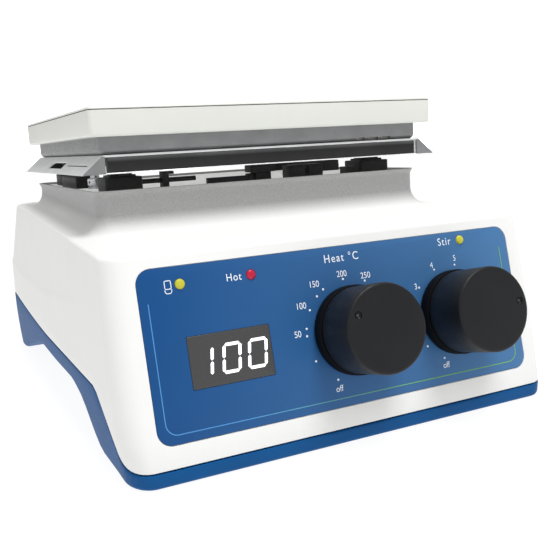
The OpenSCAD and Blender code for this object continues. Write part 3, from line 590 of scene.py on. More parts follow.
surface("base_blue", rgb(6, 82, 142), 0.5, spec=0.16, grain=1100, relief=0.02, mottle=0.05)
casing_paint_and_shade()
surface("foot_rubber", rgb(38, 38, 40), 0.85, spec=0.2, grain=1800, relief=0.08, mottle=0.15)
surface("bright_steel", rgb(205, 207, 210), 0.26, metal=1.0, grain=700, relief=0.01, mottle=0.08,
        mottle_scale=300)
surface("top_ceramic", rgb(232, 233, 227), 0.34, spec=0.5, grain=3200, relief=0.0012, mottle=0.01,
        mottle_scale=25)
surface("pan_steel", rgb(138, 139, 140), 0.42, metal=0.75, grain=260, relief=0.02, mottle=0.1, mottle_scale=90,
        rough_spread=0.1, stretch=(1, 1, 7))
# the shield's steel, lightened as painted light on the flanges in shade under the heated top
surface("shield_steel", rgb(224, 225, 226), 0.45, metal=0.25, grain=320, relief=0.012, mottle=0.06,
        mottle_scale=70, rough_spread=0.1)
surface("element_alloy", rgb(150, 120, 100), 0.45, metal=1.0, grain=900, mottle=0.2)
surface("mica", rgb(196, 170, 120), 0.35, spec=0.6, grain=300, relief=0.03, mottle=0.25, mottle_scale=150)
surface("insulation", rgb(226, 222, 208), 0.95, spec=0.05, grain=1400, relief=0.3, mottle=0.12)
surface("black_plastic", rgb(20, 20, 21), 0.5, spec=0.35, grain=1600, relief=0.025, mottle=0.2)
surface("lead_sleeve", rgb(215, 210, 196), 0.8, spec=0.1, grain=2600, relief=0.12, mottle=0.12)
surface("copper_winding", rgb(186, 98, 52), 0.32, metal=1.0, grain=1500, relief=0.15, stretch=(0.15, 0.15, 3),
        mottle=0.15)
surface("carrier_aluminium", rgb(196, 198, 202), 0.35, metal=1.0, grain=600, relief=0.02, stretch=(1, 1, 0.2))
surface("magnet", rgb(78, 78, 82), 0.3, metal=0.9, grain=1200, relief=0.02, mottle=0.12)
surface("board_green", rgb(22, 92, 52), 0.36, spec=0.5, grain=1800, relief=0.02, mottle=0.12, mottle_scale=400)
surface("transformer_core", rgb(96, 92, 88), 0.55, metal=0.6, grain=2400, relief=0.12, stretch=(0.1, 0.1, 2.4),
        mottle=0.18)
surface("relay_blue", rgb(34, 88, 160), 0.4, grain=1300, relief=0.02)
surface("white_plastic", rgb(232, 230, 222), 0.45, grain=1300, relief=0.02, mottle=0.04)
surface("ribbon_grey", rgb(168, 170, 174), 0.5, grain=1600, relief=0.1, stretch=(2, 0.1, 0.1))
# the overlay's colour runs lighter to the right: partly a printed gradient, partly a painted sheen
surface("overlay_blue", rgb(8, 77, 138), 0.42, spec=0.3, grain=2400, relief=0.006, mottle=0.015,
        far=(rgb(72, 122, 172), 0, -70, 78))
surface("window_grey", rgb(72, 72, 73), 0.26, spec=0.35, grain=900, relief=0.002, mottle=0.02)
surface("digit_light", rgb(250, 252, 255), 0.5, grain=900, relief=0.0, mottle=0.015, glow=0.9)
# white print, lifted by a painted glow
surface("print_white", rgb(238, 243, 250), 0.6, spec=0.1, grain=2400, relief=0.004, mottle=0.03, glow=0.12)
surface("print_line", rgb(88, 154, 216), 0.55, spec=0.1, grain=2400, relief=0.004, mottle=0.04,
        far=(rgb(128, 192, 92), 0, -45, 30))
surface("lamp_yellow", rgb(190, 186, 50), 0.3, grain=900, relief=0.002, mottle=0.04, glow=0.2)
surface("lamp_red", rgb(178, 12, 52), 0.3, grain=900, relief=0.002, mottle=0.04, glow=0.2)
surface("knob_black", rgb(22, 23, 26), 0.46, spec=0.3, grain=1700, relief=0.03, mottle=0.1, mottle_scale=120)
# grey lighter than the knob: a painted highlight inside the dimple
surface("dimple_painted_highlight", rgb(66, 67, 70), 0.5, spec=0.3, grain=1700, relief=0.02, mottle=0.08)
# black plastic, darker than the knob as painted shade at the knob's back
surface("collar_black", rgb(6, 6, 8), 0.62, spec=0.12, grain=1700, relief=0.02, mottle=0.1)
surface("fuse_glass", rgb(212, 216, 214), 0.12, spec=0.7, grain=600, relief=0.002, mottle=0.05)
surface("label_silver", rgb(196, 199, 203), 0.34, metal=0.8, grain=500, relief=0.006, stretch=(0.05, 1, 1.5),
        mottle=0.03)
# painted shade and dark reflection for the shield's open ends, lighter towards the top
surface("shield_end_painted_shade", rgb(33, 33, 34), 0.36, spec=0.5, metal=0.35, grain=420, relief=0.012, mottle=0.3,
        mottle_scale=50, far=(rgb(118, 119, 120), 2, 99.9, 102.2))
# the hems' glow is painted light
surface("hem_painted_glow", rgb(246, 246, 246), 0.25, metal=0.3, grain=600, relief=0.004, mottle=0.02, glow=0.12)
# a darker copy of the shield's steel: painted shade on the gussets
surface("gusset_steel_shaded", rgb(140, 141, 142), 0.45, metal=0.4, grain=320, relief=0.012, mottle=0.06,
        mottle_scale=70, rough_spread=0.1)
# painted shade for the groove under the plate's upper edge
surface("groove_painted_shade", rgb(96, 97, 96), 0.7, spec=0.1, grain=900, relief=0.01, mottle=0.1)
# the deck's glow is painted light against the shade under the shield
surface("deck_painted_light", rgb(244, 244, 242), 0.6, spec=0.2, grain=1500, relief=0.02, mottle=0.015, glow=0.3)

show(build_base(), "base_blue", "base_shell")
show(build_casing(), "casing_white", "upper_casing")


# ---------------------------------------------------------------- heated top

PLATE_CORNER = 1.6


def square(w, profile, start=True, end=True, corner=3.0):
    return stack(w, w, corner, profile, flat(0, PLATE_Y), 6, start, end)


def standoff_spots():
    low, high = box("plate_standoffs")
    return [(x, y) for x in (low[0] + 7.5, high[0] - 7.5) for y in (low[1] + 7.5, high[1] - 7.5)]


def build_top():
    low, high = box("ceramic_top")
    under = box("heater_pan")[1][2]
    z = high[2]
    plate = square(high[0] - low[0], [
        (13, under + 2.5), (13, under), (0.9, under), (0.45, under + 0.12), (0.12, under + 0.5), (0, under + 1),
        (0.05, z - 1.55), (0.16, z - 1.5), (0.5, z - 1.48), (0.5, z - 1.14), (0.16, z - 1.12), (0.08, z - 1.02),
        (0.12, z - 0.8), (0.3, z - 0.5), (0.7, z - 0.2), (1.2, z - 0.05), (1.9, z)], corner=PLATE_CORNER)
    posts = [rod(5, box("heater_pan")[0][2] + 0.9, under + 3, flat(x, y), 32) for x, y in standoff_spots()]
    return piece("top_plate", joined(plate, *posts), mats["top_ceramic"])


def build_groove():
    """A ring painted dark as the shade in the groove that runs round the plate just under its upper edge."""
    low, high = box("ceramic_top")
    a, b = high[2] - 1.49, high[2] - 1.13
    shape = square(high[0] - low[0], [(0.22, a), (0.22, b), (0.9, b), (0.9, a), (0.22, a)], False, False,
                   corner=PLATE_CORNER)
    return piece("plate_groove", shape, mats["groove_painted_shade"])


def build_pan():
    low, high = box("heater_pan")
    a, b = low[2], high[2]
    lower = [(2.0 - d, a + z) for d, z in arc(0, 0, 2.0, 2.0, 5, True)]
    shape = square(high[0] - low[0], [(1.2, a + 0.8), (0.85, a + 1.2), (0.8, b), (0, b), (0, b - 1)]
                   + [(d, z) for d, z in reversed(lower)])
    obj = piece("pan", shape, mats["pan_steel"])
    vents = [slab(w, 4, 0.4, a + 0.35, a + 1.5, 0, 0, flat(x, low[1], 0), 3)
             for x, w in ((41.4, 4.2), (47.8, 5.1), (54.5, 4.4))]
    return cut(obj, vents)


def sheet_strip(edge, z_edge, foot, z_foot, y0, y1, t, side):
    """A sloping side flange of sheet, from its fold at the top down to its foot, with a rounded fold."""
    section = [(edge - 2.2, z_edge), (edge - 0.5, z_edge), (edge, z_edge - 0.25), (foot, z_foot + 0.15),
               (foot - 0.1, z_foot), (foot - 0.6, z_foot), (foot - 1.1 * t, z_foot + 0.55),
               (edge - 1.1 * t, z_edge - t), (edge - 2.2, z_edge - t)]
    loops = [np.array([(side * x, y, z) for x, z in section]) for y in (y0, y0 + 0.01, y1 - 0.01, y1)]
    return loft(loops, True, True)


def triangle(points, y0, y1):
    """A flat plate from y0 to y1 with these (x, z) corners."""
    return loft([np.array([(x, y, z) for x, z in points]) for y in (y0, y1)], True, True)


def build_shield():
    """The folded tray under the pan: a top sheet, flared sides, and ends closed by gussets at their corners."""
    low, high = box("heat_shield")
    y0, y1, z0, z1, foot = low[1], high[1], low[2], high[2], high[0]
    edge, t = box("heater_pan")[1][0], 0.8
    gussets = []
    shapes = [block(-edge + 2.2, edge - 2.2, y0 + 0.1, y1 - 0.1, z1 - t, z1, 0.15)]
    for s in (-1, 1):
        shapes.append(sheet_strip(edge, z1, foot, z0, y0 + 0.02, y1 - 0.02, t, s))
        for near, far in ((y0, y0 + t), (y1 - t, y1)):
            corners = [(edge - 1.0, z1 - 0.5), (edge, z1 - 0.3), (foot - 0.2, z0 + 0.3), (foot - 0.7, z0 + 0.1),
                       (edge - 1.0, z0 + 0.1)]
            gussets.append(triangle([(s * x, z) for x, z in corners], near, far))
    obj = piece("shield", joined(*shapes), mats["shield_steel"], 25)
    middle_x, middle_z = (edge + foot) / 2, (z0 + z1) / 2
    windows = []
    fall = np.array([foot - edge, 0, z1 - z0]) / math.hypot(foot - edge, z1 - z0)
    for s in (-1, 1):
        across = np.array([-s * fall[0], 0, fall[2]])
        outwards = np.array([s * fall[2], 0, fall[0]])
        spot = Place((s * middle_x, 0, middle_z), (0, 1, 0), across, outwards)
        for a, b, w in ((70, 112, 1.1), (117, 150, 4.2)):
            hole = slab(b - a, w, 0.5, -3, 3, 0, 0, Place((0, 0, 0)), 4)
            windows.append((spot(hole[0] + [(a + b) / 2, 0, 0]), hole[1]))
    return cut(obj, windows, 25), piece("shield_gussets", joined(*gussets), mats["gusset_steel_shaded"], 25)


def build_shield_ends():
    """Dark sheets set between the gussets as painted shade and dark reflection inside the shield's open ends,
    lighter towards the top, and the hems along their lower edges, brightened by a painted glow.
    """
    low, high = box("heat_shield")
    edge = box("heater_pan")[1][0] - 2.0
    shade_sheets, hems = [], []
    for y, s in ((low[1], 1), (high[1], -1)):
        a, b = sorted((y + s * 0.5, y + s * 1.3))
        shade_sheets.append(block(-edge, edge, a, b, low[2] + 0.2, high[2] - 0.9, 0.2))
        a, b = sorted((y + s * 0.02, y + s * 1.5))
        hems.append(block(-edge - 1, edge + 1, a, b, low[2] + 0.02, low[2] + 0.45, 0.15))
    return (piece("shield_end_shade_sheets", joined(*shade_sheets), mats["shield_end_painted_shade"]),
            piece("shield_hems", joined(*hems), mats["hem_painted_glow"]))


def build_deck():
    """The pale sheet that closes the neck under the heated top, with a painted glow that lifts it out of the
    shade under the shield.
    """
    w, l = 2 * NECK_X - 1.6, NECK_Y1 - NECK_Y0 - 1.6
    shape = slab(w, l, 4.2, DECK_Z - 0.4, DECK_Z + 0.04, 0, 0.03, flat(0, (NECK_Y0 + NECK_Y1) / 2, 0), 5)
    return piece("deck", shape, mats["deck_painted_light"])


def build_standoffs():
    low, high = box("plate_standoffs")
    parts = []
    for x, y in standoff_spots():
        parts.append(slab(15, 15, 1.2, low[2], low[2] + 5.6, 0.3, 0.5, flat(x, y, 0), 4))
        parts.append(slab(8.5, 8.5, 0.8, low[2] + 5.5, high[2], 0, 0.4, flat(x, y, 0), 4))
        parts.append(slab(11, 11, 1.0, low[2] + 5.5, low[2] + 6.4, 0, 0.3, flat(x, y, 0), 4))
    return piece("standoffs", joined(*parts), mats["black_plastic"])


def build_strips():
    low, high = box("side_strips")
    parts = []
    for x in (low[0] + 5, high[0] - 5):
        y, l = (low[1] + high[1]) / 2, high[1] - low[1]
        parts.append(slab(10, l, 1.0, low[2], high[2], 0.2, 0.6, flat(x, y, 0), 4))
        parts.append(slab(10.3, l + 0.3, 1.0, low[2] + 2.3, low[2] + 3.0, 0.15, 0.15, flat(x, y, 0), 4))
    return piece("strips", joined(*parts), mats["black_plastic"])


def build_earth_post():
    c, z = middle("earth_post"), box("earth_post")[0][2]
    profile = [(0, z), (3.4, z), (3.4, z + 0.9), (2.9, z + 1.1), (2.9, z + 1.5), (3.3, z + 1.7), (3.3, z + 4.3),
               (3.0, z + 4.6), (2.0, z + 4.7), (1.95, z + 5.8), (1.75, z + 6), (0, z + 6)]
    shape = turned(profile, flat(c[0], c[1], 0), 40)
    obj = piece("earth_stud", shape, mats["bright_steel"])
    drill = [rod(0.55, 2.2, 6, Place((c[0], c[1], z + 3.0), (0, 0, 1), (math.cos(a), math.sin(a), 0),
                                     (math.sin(a), -math.cos(a), 0)), 16) for a in np.arange(6) * math.pi / 3]
    return cut(obj, drill)


def build_cutout():
    low, high = box("thermal_cutout")
    z, x = low[2], high[0] - 6
    y = (low[1] + high[1]) / 2
    parts = [slab(7.6, 6, 0.5, z, z + 4, 0.2, 0.2, flat(x, y, 0), 3),
             slab(12, 8, 0.9, z + 3.6, high[2], 0.4, 0.4, flat(x, y, 0), 4),
             slab(20.5, 3.5, 0.6, z, z + 2.5, 0.3, 0.3, flat(low[0] + 10.25, y + 0.2, 0), 4),
             slab(3, 4.2, 0.4, z, z + 3.2, 0.2, 0.3, flat(low[0] + 20, y + 0.2, 0), 3)]
    return piece("cutout", joined(*parts), mats["black_plastic"])


def build_terminals():
    low, high = box("heater_terminals")
    y, parts = (low[1] + high[1]) / 2, []
    for x in (low[0] + 3.6, high[0] - 3.6):
        parts.append(slab(7.2, 8, 0.5, low[2], high[2], 0.2, 0.35, flat(x, y, 0), 4))
        for dz in (1.5, 3.6):
            parts.append(slab(7.4, 8.2, 0.5, low[2] + dz, low[2] + dz + 0.5, 0.1, 0.1, flat(x, y, 0), 4))
    return piece("terminals", joined(*parts), mats["black_plastic"])


show(build_top(), "top_ceramic", "ceramic_top")
show(build_groove(), "top_ceramic")
show(build_deck(), "casing_white")
show(build_pan(), "pan_steel", "heater_pan")
shield, gussets = build_shield()
show(shield, "shield_steel", "heat_shield")
show(gussets, "shield_steel")
end_shade_sheets, hems = build_shield_ends()
show(end_shade_sheets, "shield_steel")
show(hems, "shield_steel")
show(build_standoffs(), "black_plastic", "plate_standoffs")
show(build_strips(), "black_plastic", "side_strips")
show(build_earth_post(), "bright_steel", "earth_post")
show(build_cutout(), "black_plastic", "thermal_cutout")
show(build_terminals(), "black_plastic", "heater_terminals")


# ---------------------------------------------------------------- front panel

def build_overlay():
    width = overlay_high[0] - overlay_low[0]
    height = (overlay_high[2] - overlay_low[2]) / UP[2]
    shape = slab(width, min(height, OVERLAY_H), 5, -0.6, -0.02, 0, 0.2, panel(0, OVERLAY_V), 8)
    obj = piece("overlay", shape, mats["overlay_blue"])
    holes = [rod(4.7, -3, 3, panel(x, DIAL_V), 40) for x in (0, STIR_X)]
    holes += [slab(29.4, 17.3, 0.4, -3, 3, 0, 0, panel(*WINDOW), 4)]
    holes += [rod(1.8, -3, 3, panel(x, v), 24) for x, v in LAMPS]
    return cut(obj, holes)


def strokes(points, width, closed=False):
    """A raised line of even width through (x, v) points on the panel."""
    p = np.array(points, float)
    ahead, behind = np.roll(p, -1, 0), np.roll(p, 1, 0)
    if not closed:
        ahead[-1], behind[0] = p[-1] * 2 - p[-2], p[0] * 2 - p[1]
    run = ahead - behind
    run /= np.linalg.norm(run, axis=1)[:, None]
    side = np.column_stack([-run[:, 1], run[:, 0]]) * width / 2
    rows = [np.array([(*(a + b), -PRINT_H), (*(a + b), PRINT_H), (*(a - b), PRINT_H), (*(a - b), -PRINT_H)])
            for a, b in zip(p, side)]
    if closed:
        rows.append(rows[0])
    points, faces = loft(rows, not closed, not closed)
    return panel()(points), faces


def bend(cx, cy, r, a0, a1, steps=8):
    return [(cx + r * math.cos(math.radians(a)), cy + r * math.sin(math.radians(a)))
            for a in np.linspace(a0, a1, steps + 1)]


def lettering(words, x, v, size, spacing=1.0):
    """Raised generic words and numbers, centred on a place on the panel."""
    curve = bpy.data.curves.new("words", "FONT")
    curve.body = words
    curve.size = size
    curve.align_x = "CENTER"
    curve.align_y = "CENTER"
    curve.extrude = 0.02
    curve.space_character = spacing
    obj = bpy.data.objects.new("words", curve)
    bpy.context.scene.collection.objects.link(obj)
    mesh = bpy.data.meshes.new_from_object(obj.evaluated_get(bpy.context.evaluated_depsgraph_get()))
    points = np.array([tuple(p.co) for p in mesh.vertices])
    faces = [tuple(f.vertices) for f in mesh.polygons]
    bpy.data.objects.remove(obj)
    return panel(x, v, 0.02)(points * [LETTER_WIDTH, 1, 1]), faces


PRINT_H = 0.03
LETTER_WIDTH = 0.88
HEAT_DOTS = (241, 207, 178, 170, 149.5, 132, 121, 93, 65, 36, 8, -20, -48)
STIR_DOTS = (244.6, 216.7, 174, 142, 110, 78.6, 48, 16, -16, -47)
HEAT_WORDS = (("off", -8.9, 6.5), ("50", -21.8, 27.5), ("100", -19, 36.9), ("150", -12.8, 43.7),
              ("200", -1.2, 46), ("250", 8.4, 44.3))
STIR_WORDS = (("off", 37.4, 6.8), ("3", 29.2, 37.4), ("4", 37.7, 44.4), ("5", 48.7, 45.9))


def build_print():
    parts = []
    for x, r, dots in ((0, 18.4, HEAT_DOTS), (STIR_X, 18.0, STIR_DOTS)):
        for a in dots:
            a = math.radians(a)
            spot = panel(x + r * math.cos(a), DIAL_V + r * math.sin(a), 0)
            parts.append(turned([(0.4, -0.03), (0.4, 0.02), (0.32, 0.05), (0, 0.06)], spot, 16))
    for words, x, v in HEAT_WORDS + STIR_WORDS:
        parts.append(lettering(words, x, v, 3.15))
    parts.append(lettering("Heat \u00b0C", -0.4, 51.8, 4.1, 1.2))
    parts.append(lettering("Stir", 45.1, 52.6, 4.1, 1.2))
    parts.append(lettering("Hot", -42.0, 49.9, 3.6, 1.15))
    x, v = -64.8, 49.7
    frame_line = (bend(x + 0.65, v + 1.5, 0.4, 0, 90, 3) + bend(x - 0.65, v + 1.5, 0.4, 90, 180, 3)
                  + bend(x - 0.65, v - 0.4, 0.4, 180, 270, 3) + bend(x + 0.65, v - 0.4, 0.4, 270, 360, 3))
    parts.append(strokes(frame_line, 0.26, True))
    parts.append(strokes([(x - 1.15, v - 1.0), (x - 1.05, v - 1.8), (x - 0.65, v - 2.2), (x + 0.65, v - 2.2),
                          (x + 1.05, v - 1.8), (x + 1.15, v - 1.0)], 0.26))
    return piece("panel_print", joined(*parts), mats["print_white"])


def build_border():
    line = [(-72, 45), (-72, 7.8)] + bend(-68, 7.0, 4, 180, 270)[1:] + bend(67, 7.0, 4, 270, 360) + [(71, 48)]
    dense = [np.array(line[0], float)]
    for q in line[1:]:
        q = np.array(q, float)
        n = max(int(np.linalg.norm(q - dense[-1]) / 6), 1)
        dense += [dense[-1] + (q - dense[-1]) * (i + 1) / n for i in range(n)]
    return piece("border_line", strokes(dense, 0.3), mats["print_line"])


def segment(a, b, t):
    """One bar of a digit between two (x, v) ends, pointed at both."""
    a, b = np.array(a, float), np.array(b, float)
    run = (b - a) / np.linalg.norm(b - a)
    side = np.array([-run[1], run[0]]) * t / 2
    a, b = a + run * 0.16, b - run * 0.16
    c, d = a + run * t / 2, b - run * t / 2
    return [a, c + side, d + side, b, d - side, c - side]


def build_digits():
    v0, v1, t = 19.0, 29.0, 1.05
    vm, lean, parts = (v0 + v1) / 2, math.tan(math.radians(8)), []
    spans = [(-50.4, -43.1, "abcdef"), (-41.3, -33.6, "abcdef"), (-59.8, -52.9, "bc")]
    for x0, x1, lit in spans:
        a, b, lo, hi = x0 + t / 2 + 0.3, x1 - t / 2 - 0.3, v0 + t / 2, v1 - t / 2
        bars = {"a": ((a, hi), (b, hi)), "b": ((b, hi), (b, vm)), "c": ((b, vm), (b, lo)),
                "d": ((a, lo), (b, lo)), "e": ((a, lo), (a, vm)), "f": ((a, vm), (a, hi))}
        for name in lit:
            outline = np.array(segment(*bars[name], t))
            outline[:, 0] += (outline[:, 1] - vm) * lean
            place = panel()
            parts.append(loft([place(level(outline, h)) for h in (0.1, 0.2)], True, True))
    return piece("digits", joined(*parts), mats["digit_light"])


def build_window():
    shape = slab(29.2, 17.1, 0.5, -1.0, 0.12, 0.1, 0.15, panel(*WINDOW), 4)
    return piece("window", shape, mats["window_grey"])


def build_lamp(name, x, v, material):
    profile = [(1.68, -9.6), (1.68, 0.05), (1.55, 0.3), (1.25, 0.52), (0.8, 0.66), (0, 0.72)]
    return piece(name, turned([(0, -9.6)] + profile, panel(x, v), 32), material, 40)


show(build_overlay(), "overlay_blue", "front_overlay")
show(build_print(), "overlay_blue")
show(build_border(), "overlay_blue")
show(build_window(), "window_grey", "display_window")
show(build_digits(), "window_grey")
for i, ((x, v), look) in enumerate(zip(LAMPS, ("lamp_yellow", "lamp_red", "lamp_yellow"))):
    lens = build_lamp(f"lamp_{i + 1}", x, v, mats[look])
    show(lens, "lamp_lens", *(("status_lamps",) if i == 0 else ()))


# ---------------------------------------------------------------- dials

def radius_of(node):
    low, high = box(node)
    return (high[0] - low[0]) / 2


def build_knob(name, x, angle, r):
    face = 22.7
    spot = panel(x, DIAL_V)
    rim = [(r - d, face - 1.0 + z) for d, z in ((0.05, 0), (0.14, 0.45), (0.35, 0.72), (0.65, 0.9), (1.0, 0.98))]
    shape = turned([(0, face - 4), (3.0, face - 4), (3.0, 5.05), (r - 0.7, 5.05), (r - 0.25, 5.3), (r, 5.8)]
                   + rim + [(r - 1.4, face), (0, face)], spot, 96)
    obj = piece(name, shape, mats["knob_black"], 28)
    a = math.radians(angle)
    dimple = panel(x + DIMPLE_R * math.cos(a), DIAL_V + DIMPLE_R * math.sin(a), face)
    bowl = [(0, -0.95), (0.75, -0.85), (1.2, -0.5), (1.38, 0.02), (1.38, 0.5), (0, 0.5)]
    cut(obj, [turned(bowl, dimple, 32)], 28)
    # the button's lighter grey is a painted highlight inside the dimple
    button = [(0, -0.9), (0.6, -0.84), (0.62, -0.62), (0.5, -0.5), (0, -0.46)]
    mark = piece(name + "_mark", turned(button, dimple, 24), mats["dimple_painted_highlight"])
    return obj, mark


def build_collar(name, x, r):
    shape = turned([(9.6, 0.7), (r - 0.3, 0.62), (r - 0.05, 0.9), (r, 1.3), (r - 0.05, 4.4), (r - 0.3, 4.85),
                    (r - 0.7, 4.98), (9.6, 4.98), (9.6, 0.7)], panel(x, DIAL_V), 96)
    return piece(name, shape, mats["collar_black"], 28)


for body, x, angle in (("heat_dial", 0, 151), ("stir_dial", STIR_X, 7)):
    kind = body.split("_")[0]
    knob, mark = build_knob(f"{kind}_grip", x, angle, radius_of(f"{kind}_knob"))
    show(knob, "knob_black", f"{kind}_knob", body=body)
    show(mark, "knob_black", body=body)
    collar = build_collar(f"{kind}_ring", x, radius_of(f"{kind}_collar"))
    show(collar, "collar_black", f"{kind}_collar", body=body)


# ---------------------------------------------------------------- rear and underside

def build_inlet():
    x, z = INLET
    obj = piece("inlet", slab(58, 29, 3, 0, 1.2, 0.1, 0.45, rear(x, z), 6), mats["black_plastic"])
    cut(obj, [slab(47.6, 24.6, 0.8, -25.9, 0.2, 0.3, 0, rear(x, z), 4)], operation="UNION")
    outline = np.array([(-12, -8.2), (12, -8.2), (12, 3.4), (7.2, 8.2), (-7.2, 8.2), (-12, 3.4)])
    mouth = outline * [1.03, 1.03]
    place = rear(SOCKET_X, z)
    cavity = loft([place(level(outline, -15.8)), place(level(outline, 0.6)), place(level(mouth, 1.3)),
                   place(level(mouth, 3))], True, True)
    bay = slab(13.3, 20.3, 0.4, -22.8, 3, 0, 0, rear(DRAWER_X, z), 3)
    spots = [rear(x + s * INLET_SCREW_X, z) for s in (-1, 1)]
    holes = [rod(1.7, -2, 3, spot, 24) for spot in spots]
    sinks = [turned([(0, 0.3), (2.1, 0.3), (2.9, 1.3), (2.9, 3), (0, 3)], spot, 24) for spot in spots]
    return cut(obj, [cavity, bay] + holes + sinks)


def build_pins():
    parts = []
    for dx, dz in ((-7, -1.5), (0, 1.5), (7, -1.5)):
        parts.append(slab(2, 4, 0.5, -16.0, -2.2, 0, 0.7, rear(SOCKET_X + dx, INLET[1] + dz), 4))
    return piece("inlet_pins", joined(*parts), mats["bright_steel"])


def build_drawer():
    z = INLET[1]
    shape = slab(13, 20, 0.6, -22.3, 1.7, 0.2, 0.35, rear(DRAWER_X, z), 4)
    obj = piece("fuse_tray", shape, mats["black_plastic"])
    notch = slab(8, 1.8, 0.4, 0.9, 3, 0, 0, rear(DRAWER_X, z - 7.2), 3)
    finger = slab(6, 1.0, 0.3, 1.3, 3, 0, 0, rear(DRAWER_X, z + 7.5), 3)
    bays = [block(DRAWER_X - 4, DRAWER_X + 9, DEPTH - 21.0, DEPTH - 1.8, low, low + 6.4, 0.2)
            for low in (z - 7.4, z + 1.0)]
    return cut(obj, [notch, finger] + bays)


def build_probe():
    profile = [(4.2, -8), (4.2, 0.6), (4.9, 1.15), (7.4, 1.2), (7.85, 0.95), (8.0, 0.5), (7.95, 0.0), (6.3, 0.0),
               (6.3, -12), (0, -12), (0, -8), (4.2, -8)]
    shape = turned(profile, rear(*PROBE), 64)
    contacts = [rod(0.7, -8.3, -4.5, rear(PROBE[0] + 2 * math.cos(a), PROBE[1] + 2 * math.sin(a)), 16)
                for a in (0.5, 2.6, 4.7)]
    return (piece("probe_port", shape, mats["black_plastic"]),
            piece("probe_contacts", joined(*contacts), mats["bright_steel"]))


def build_label():
    c = middle("rating_plate")
    place = rear(c[0], c[2])
    plate = slab(40, 24, 1.5, 0.02, 0.38, 0, 0.1, place, 5)
    outer, inner = rounded(38, 22, 1.0, 5), rounded(37.2, 21.2, 0.7, 5)
    ring = [level(outer, 0.3), level(outer, 0.46), level(inner, 0.46), level(inner, 0.3), level(outer, 0.3)]
    border = loft([place(p) for p in ring])
    return (piece("label", plate, mats["label_silver"]),
            piece("label_border", border, mats["black_plastic"]))


def build_feet():
    low, high = box("rubber_feet")
    x, near, far = (round(v, 1) for v in (high[0] - FOOT_R, low[1] + FOOT_R, high[1] - FOOT_R))
    profile = [(0, 1.2), (7.6, 1.2), (FOOT_R, 0.9), (FOOT_R, -0.5), (7.8, -0.85), (7.4, -1), (5.2, -1),
               (5.0, -0.75), (3.2, -0.75), (3.0, -1), (0, -1)]
    parts = [turned(profile, flat(s * x, y), 48) for s in (-1, 1) for y in (near, far)]
    return piece("feet", joined(*parts), mats["foot_rubber"], 28)


show(build_inlet(), "black_plastic", "mains_inlet")
show(build_pins(), "bright_steel")
show(build_drawer(), "black_plastic", "fuse_drawer", body="fuse_carrier")
port, contacts = build_probe()
show(port, "black_plastic", "probe_socket")
show(contacts, "bright_steel")
label, label_border = build_label()
show(label, "label_silver", "rating_plate")
show(label_border, "label_silver")
show(build_feet(), "foot_rubber", "rubber_feet")


# ---------------------------------------------------------------- CAD pieces that stay as they are

KEPT = {
    "bright_steel": ("base_screws", "standoff_screws", "motor_bearings", "motor_screws", "drive_shaft",
                     "board_pillars", "heat_control", "stir_control", "heat_spindle", "stir_spindle", "heat_nut",
                     "stir_nut", "inlet_screws", "rod_pillar"),
    "pan_steel": ("motor_can", "motor_bracket", "motor_rotor"),
    "element_alloy": ("heating_element",), "mica": ("mica_sheet",), "insulation": ("insulation_pad",),
    "black_plastic": ("sensor_sheath", "sensor_clip", "sensor_plug", "capacitors", "display_module"),
    "lead_sleeve": ("heater_leads",), "copper_winding": ("motor_stator",),
    "carrier_aluminium": ("magnet_carrier", "heat_sink"), "magnet": ("stir_magnets",),
    "foot_rubber": ("motor_grommets",), "board_green": ("main_board", "front_board"),
    "transformer_core": ("transformer",), "relay_blue": ("relay",), "white_plastic": ("board_connectors",),
    "ribbon_grey": ("ribbon_cable",), "fuse_glass": ("fuses",),
}
BEVEL = {"sensor_clip": 0.25, "sensor_plug": 0.5, "transformer": 0.6, "relay": 0.5, "board_connectors": 0.3,
         "capacitors": 0.4, "display_module": 0.4, "heat_control": 0.2, "stir_control": 0.2, "motor_can": 0.5}
for look, nodes in KEPT.items():
    for node in nodes:
        obj = frame["nodes"][node]
        obj.data.materials.clear()
        obj.data.materials.append(mats[look])
        if node in BEVEL:
            mod = obj.modifiers.new("edges", "BEVEL")
            mod.width = BEVEL[node] / 1000
            mod.segments = 2
            mod.limit_method = "ANGLE"

# ---------------------------------------------------------------- camera, floor and light

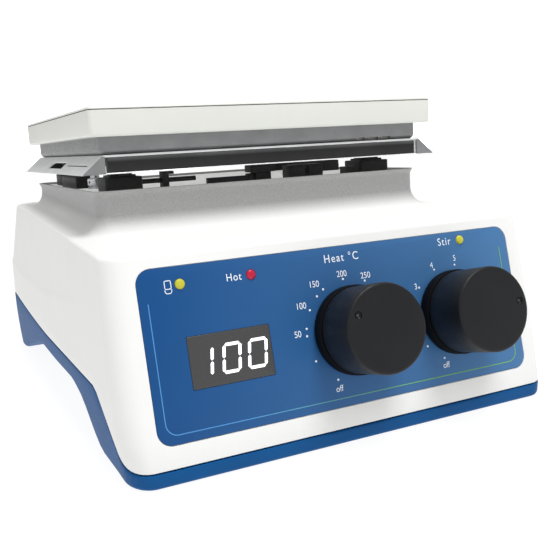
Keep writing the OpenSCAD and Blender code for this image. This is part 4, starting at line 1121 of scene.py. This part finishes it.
camera = bpy.data.objects.new("camera", bpy.data.cameras.new("camera"))
bpy.context.scene.collection.objects.link(camera)
camera.data.lens = 49.18
camera.data.sensor_width = 36
camera.data.clip_start = 0.01
right, up, back = (0.89881, -0.43515, -0.05278), (0.12250, 0.13376, 0.98341), (-0.42087, -0.89037, 0.17353)
camera.matrix_world = Matrix((
    (right[0], up[0], back[0], -0.13437), (right[1], up[1], back[1], -0.32083),
    (right[2], up[2], back[2], 0.10486), (0, 0, 0, 1)))
bpy.context.scene.camera = camera

scene = bpy.context.scene
scene.view_settings.view_transform = "Standard"
scene.world = bpy.data.worlds.new("studio")
scene.world.use_nodes = True
sky = scene.world.node_tree.nodes["Background"]
sky.inputs["Color"].default_value = (1, 1, 1, 1)
sky.inputs["Strength"].default_value = 0.56


def lamp(name, place, target, size, power):
    """A round soft light, aimed at a target."""
    data = bpy.data.lights.new(name, "AREA")
    data.shape = "DISK"
    data.size = size
    data.energy = power
    obj = bpy.data.objects.new(name, data)
    scene.collection.objects.link(obj)
    obj.location = place
    obj.rotation_euler = (Vector(target) - Vector(place)).to_track_quat("-Z", "Y").to_euler()


lamp("key", (0.15, -0.5, 1.55), (0, 0, 0.06), 0.7, 17)


def plain(name, points, faces, material):
    """A mesh of the stage, in metres."""
    mesh = bpy.data.meshes.new(name)
    mesh.from_pydata(points, [], faces)
    mesh.materials.append(material)
    obj = bpy.data.objects.new(name, mesh)
    scene.collection.objects.link(obj)
    return obj


plain("floor", [(-6, -6, 0), (6, -6, 0), (6, 6, 0), (-6, 6, 0)], [(0, 1, 2, 3)],
      surface("floor_white", (0.15, 0.15, 0.15, 1), 0.9, spec=0.0, relief=0, mottle=0.002, glow=6.15))
ring = [(5.5 * math.cos(a), 5.5 * math.sin(a)) for a in np.linspace(0, 2 * math.pi, 49)[:-1]]
pale = surface("backdrop_white", (0.97, 0.97, 0.97, 1), 0.9, spec=0.0, relief=0, mottle=0.003, glow=1.03)
backdrop = plain("backdrop", [(x, y, z) for z in (-0.1, 9) for x, y in ring], faces_of(2, 48), pale)
backdrop.visible_diffuse = False
backdrop.visible_glossy = False
backdrop.visible_shadow = False
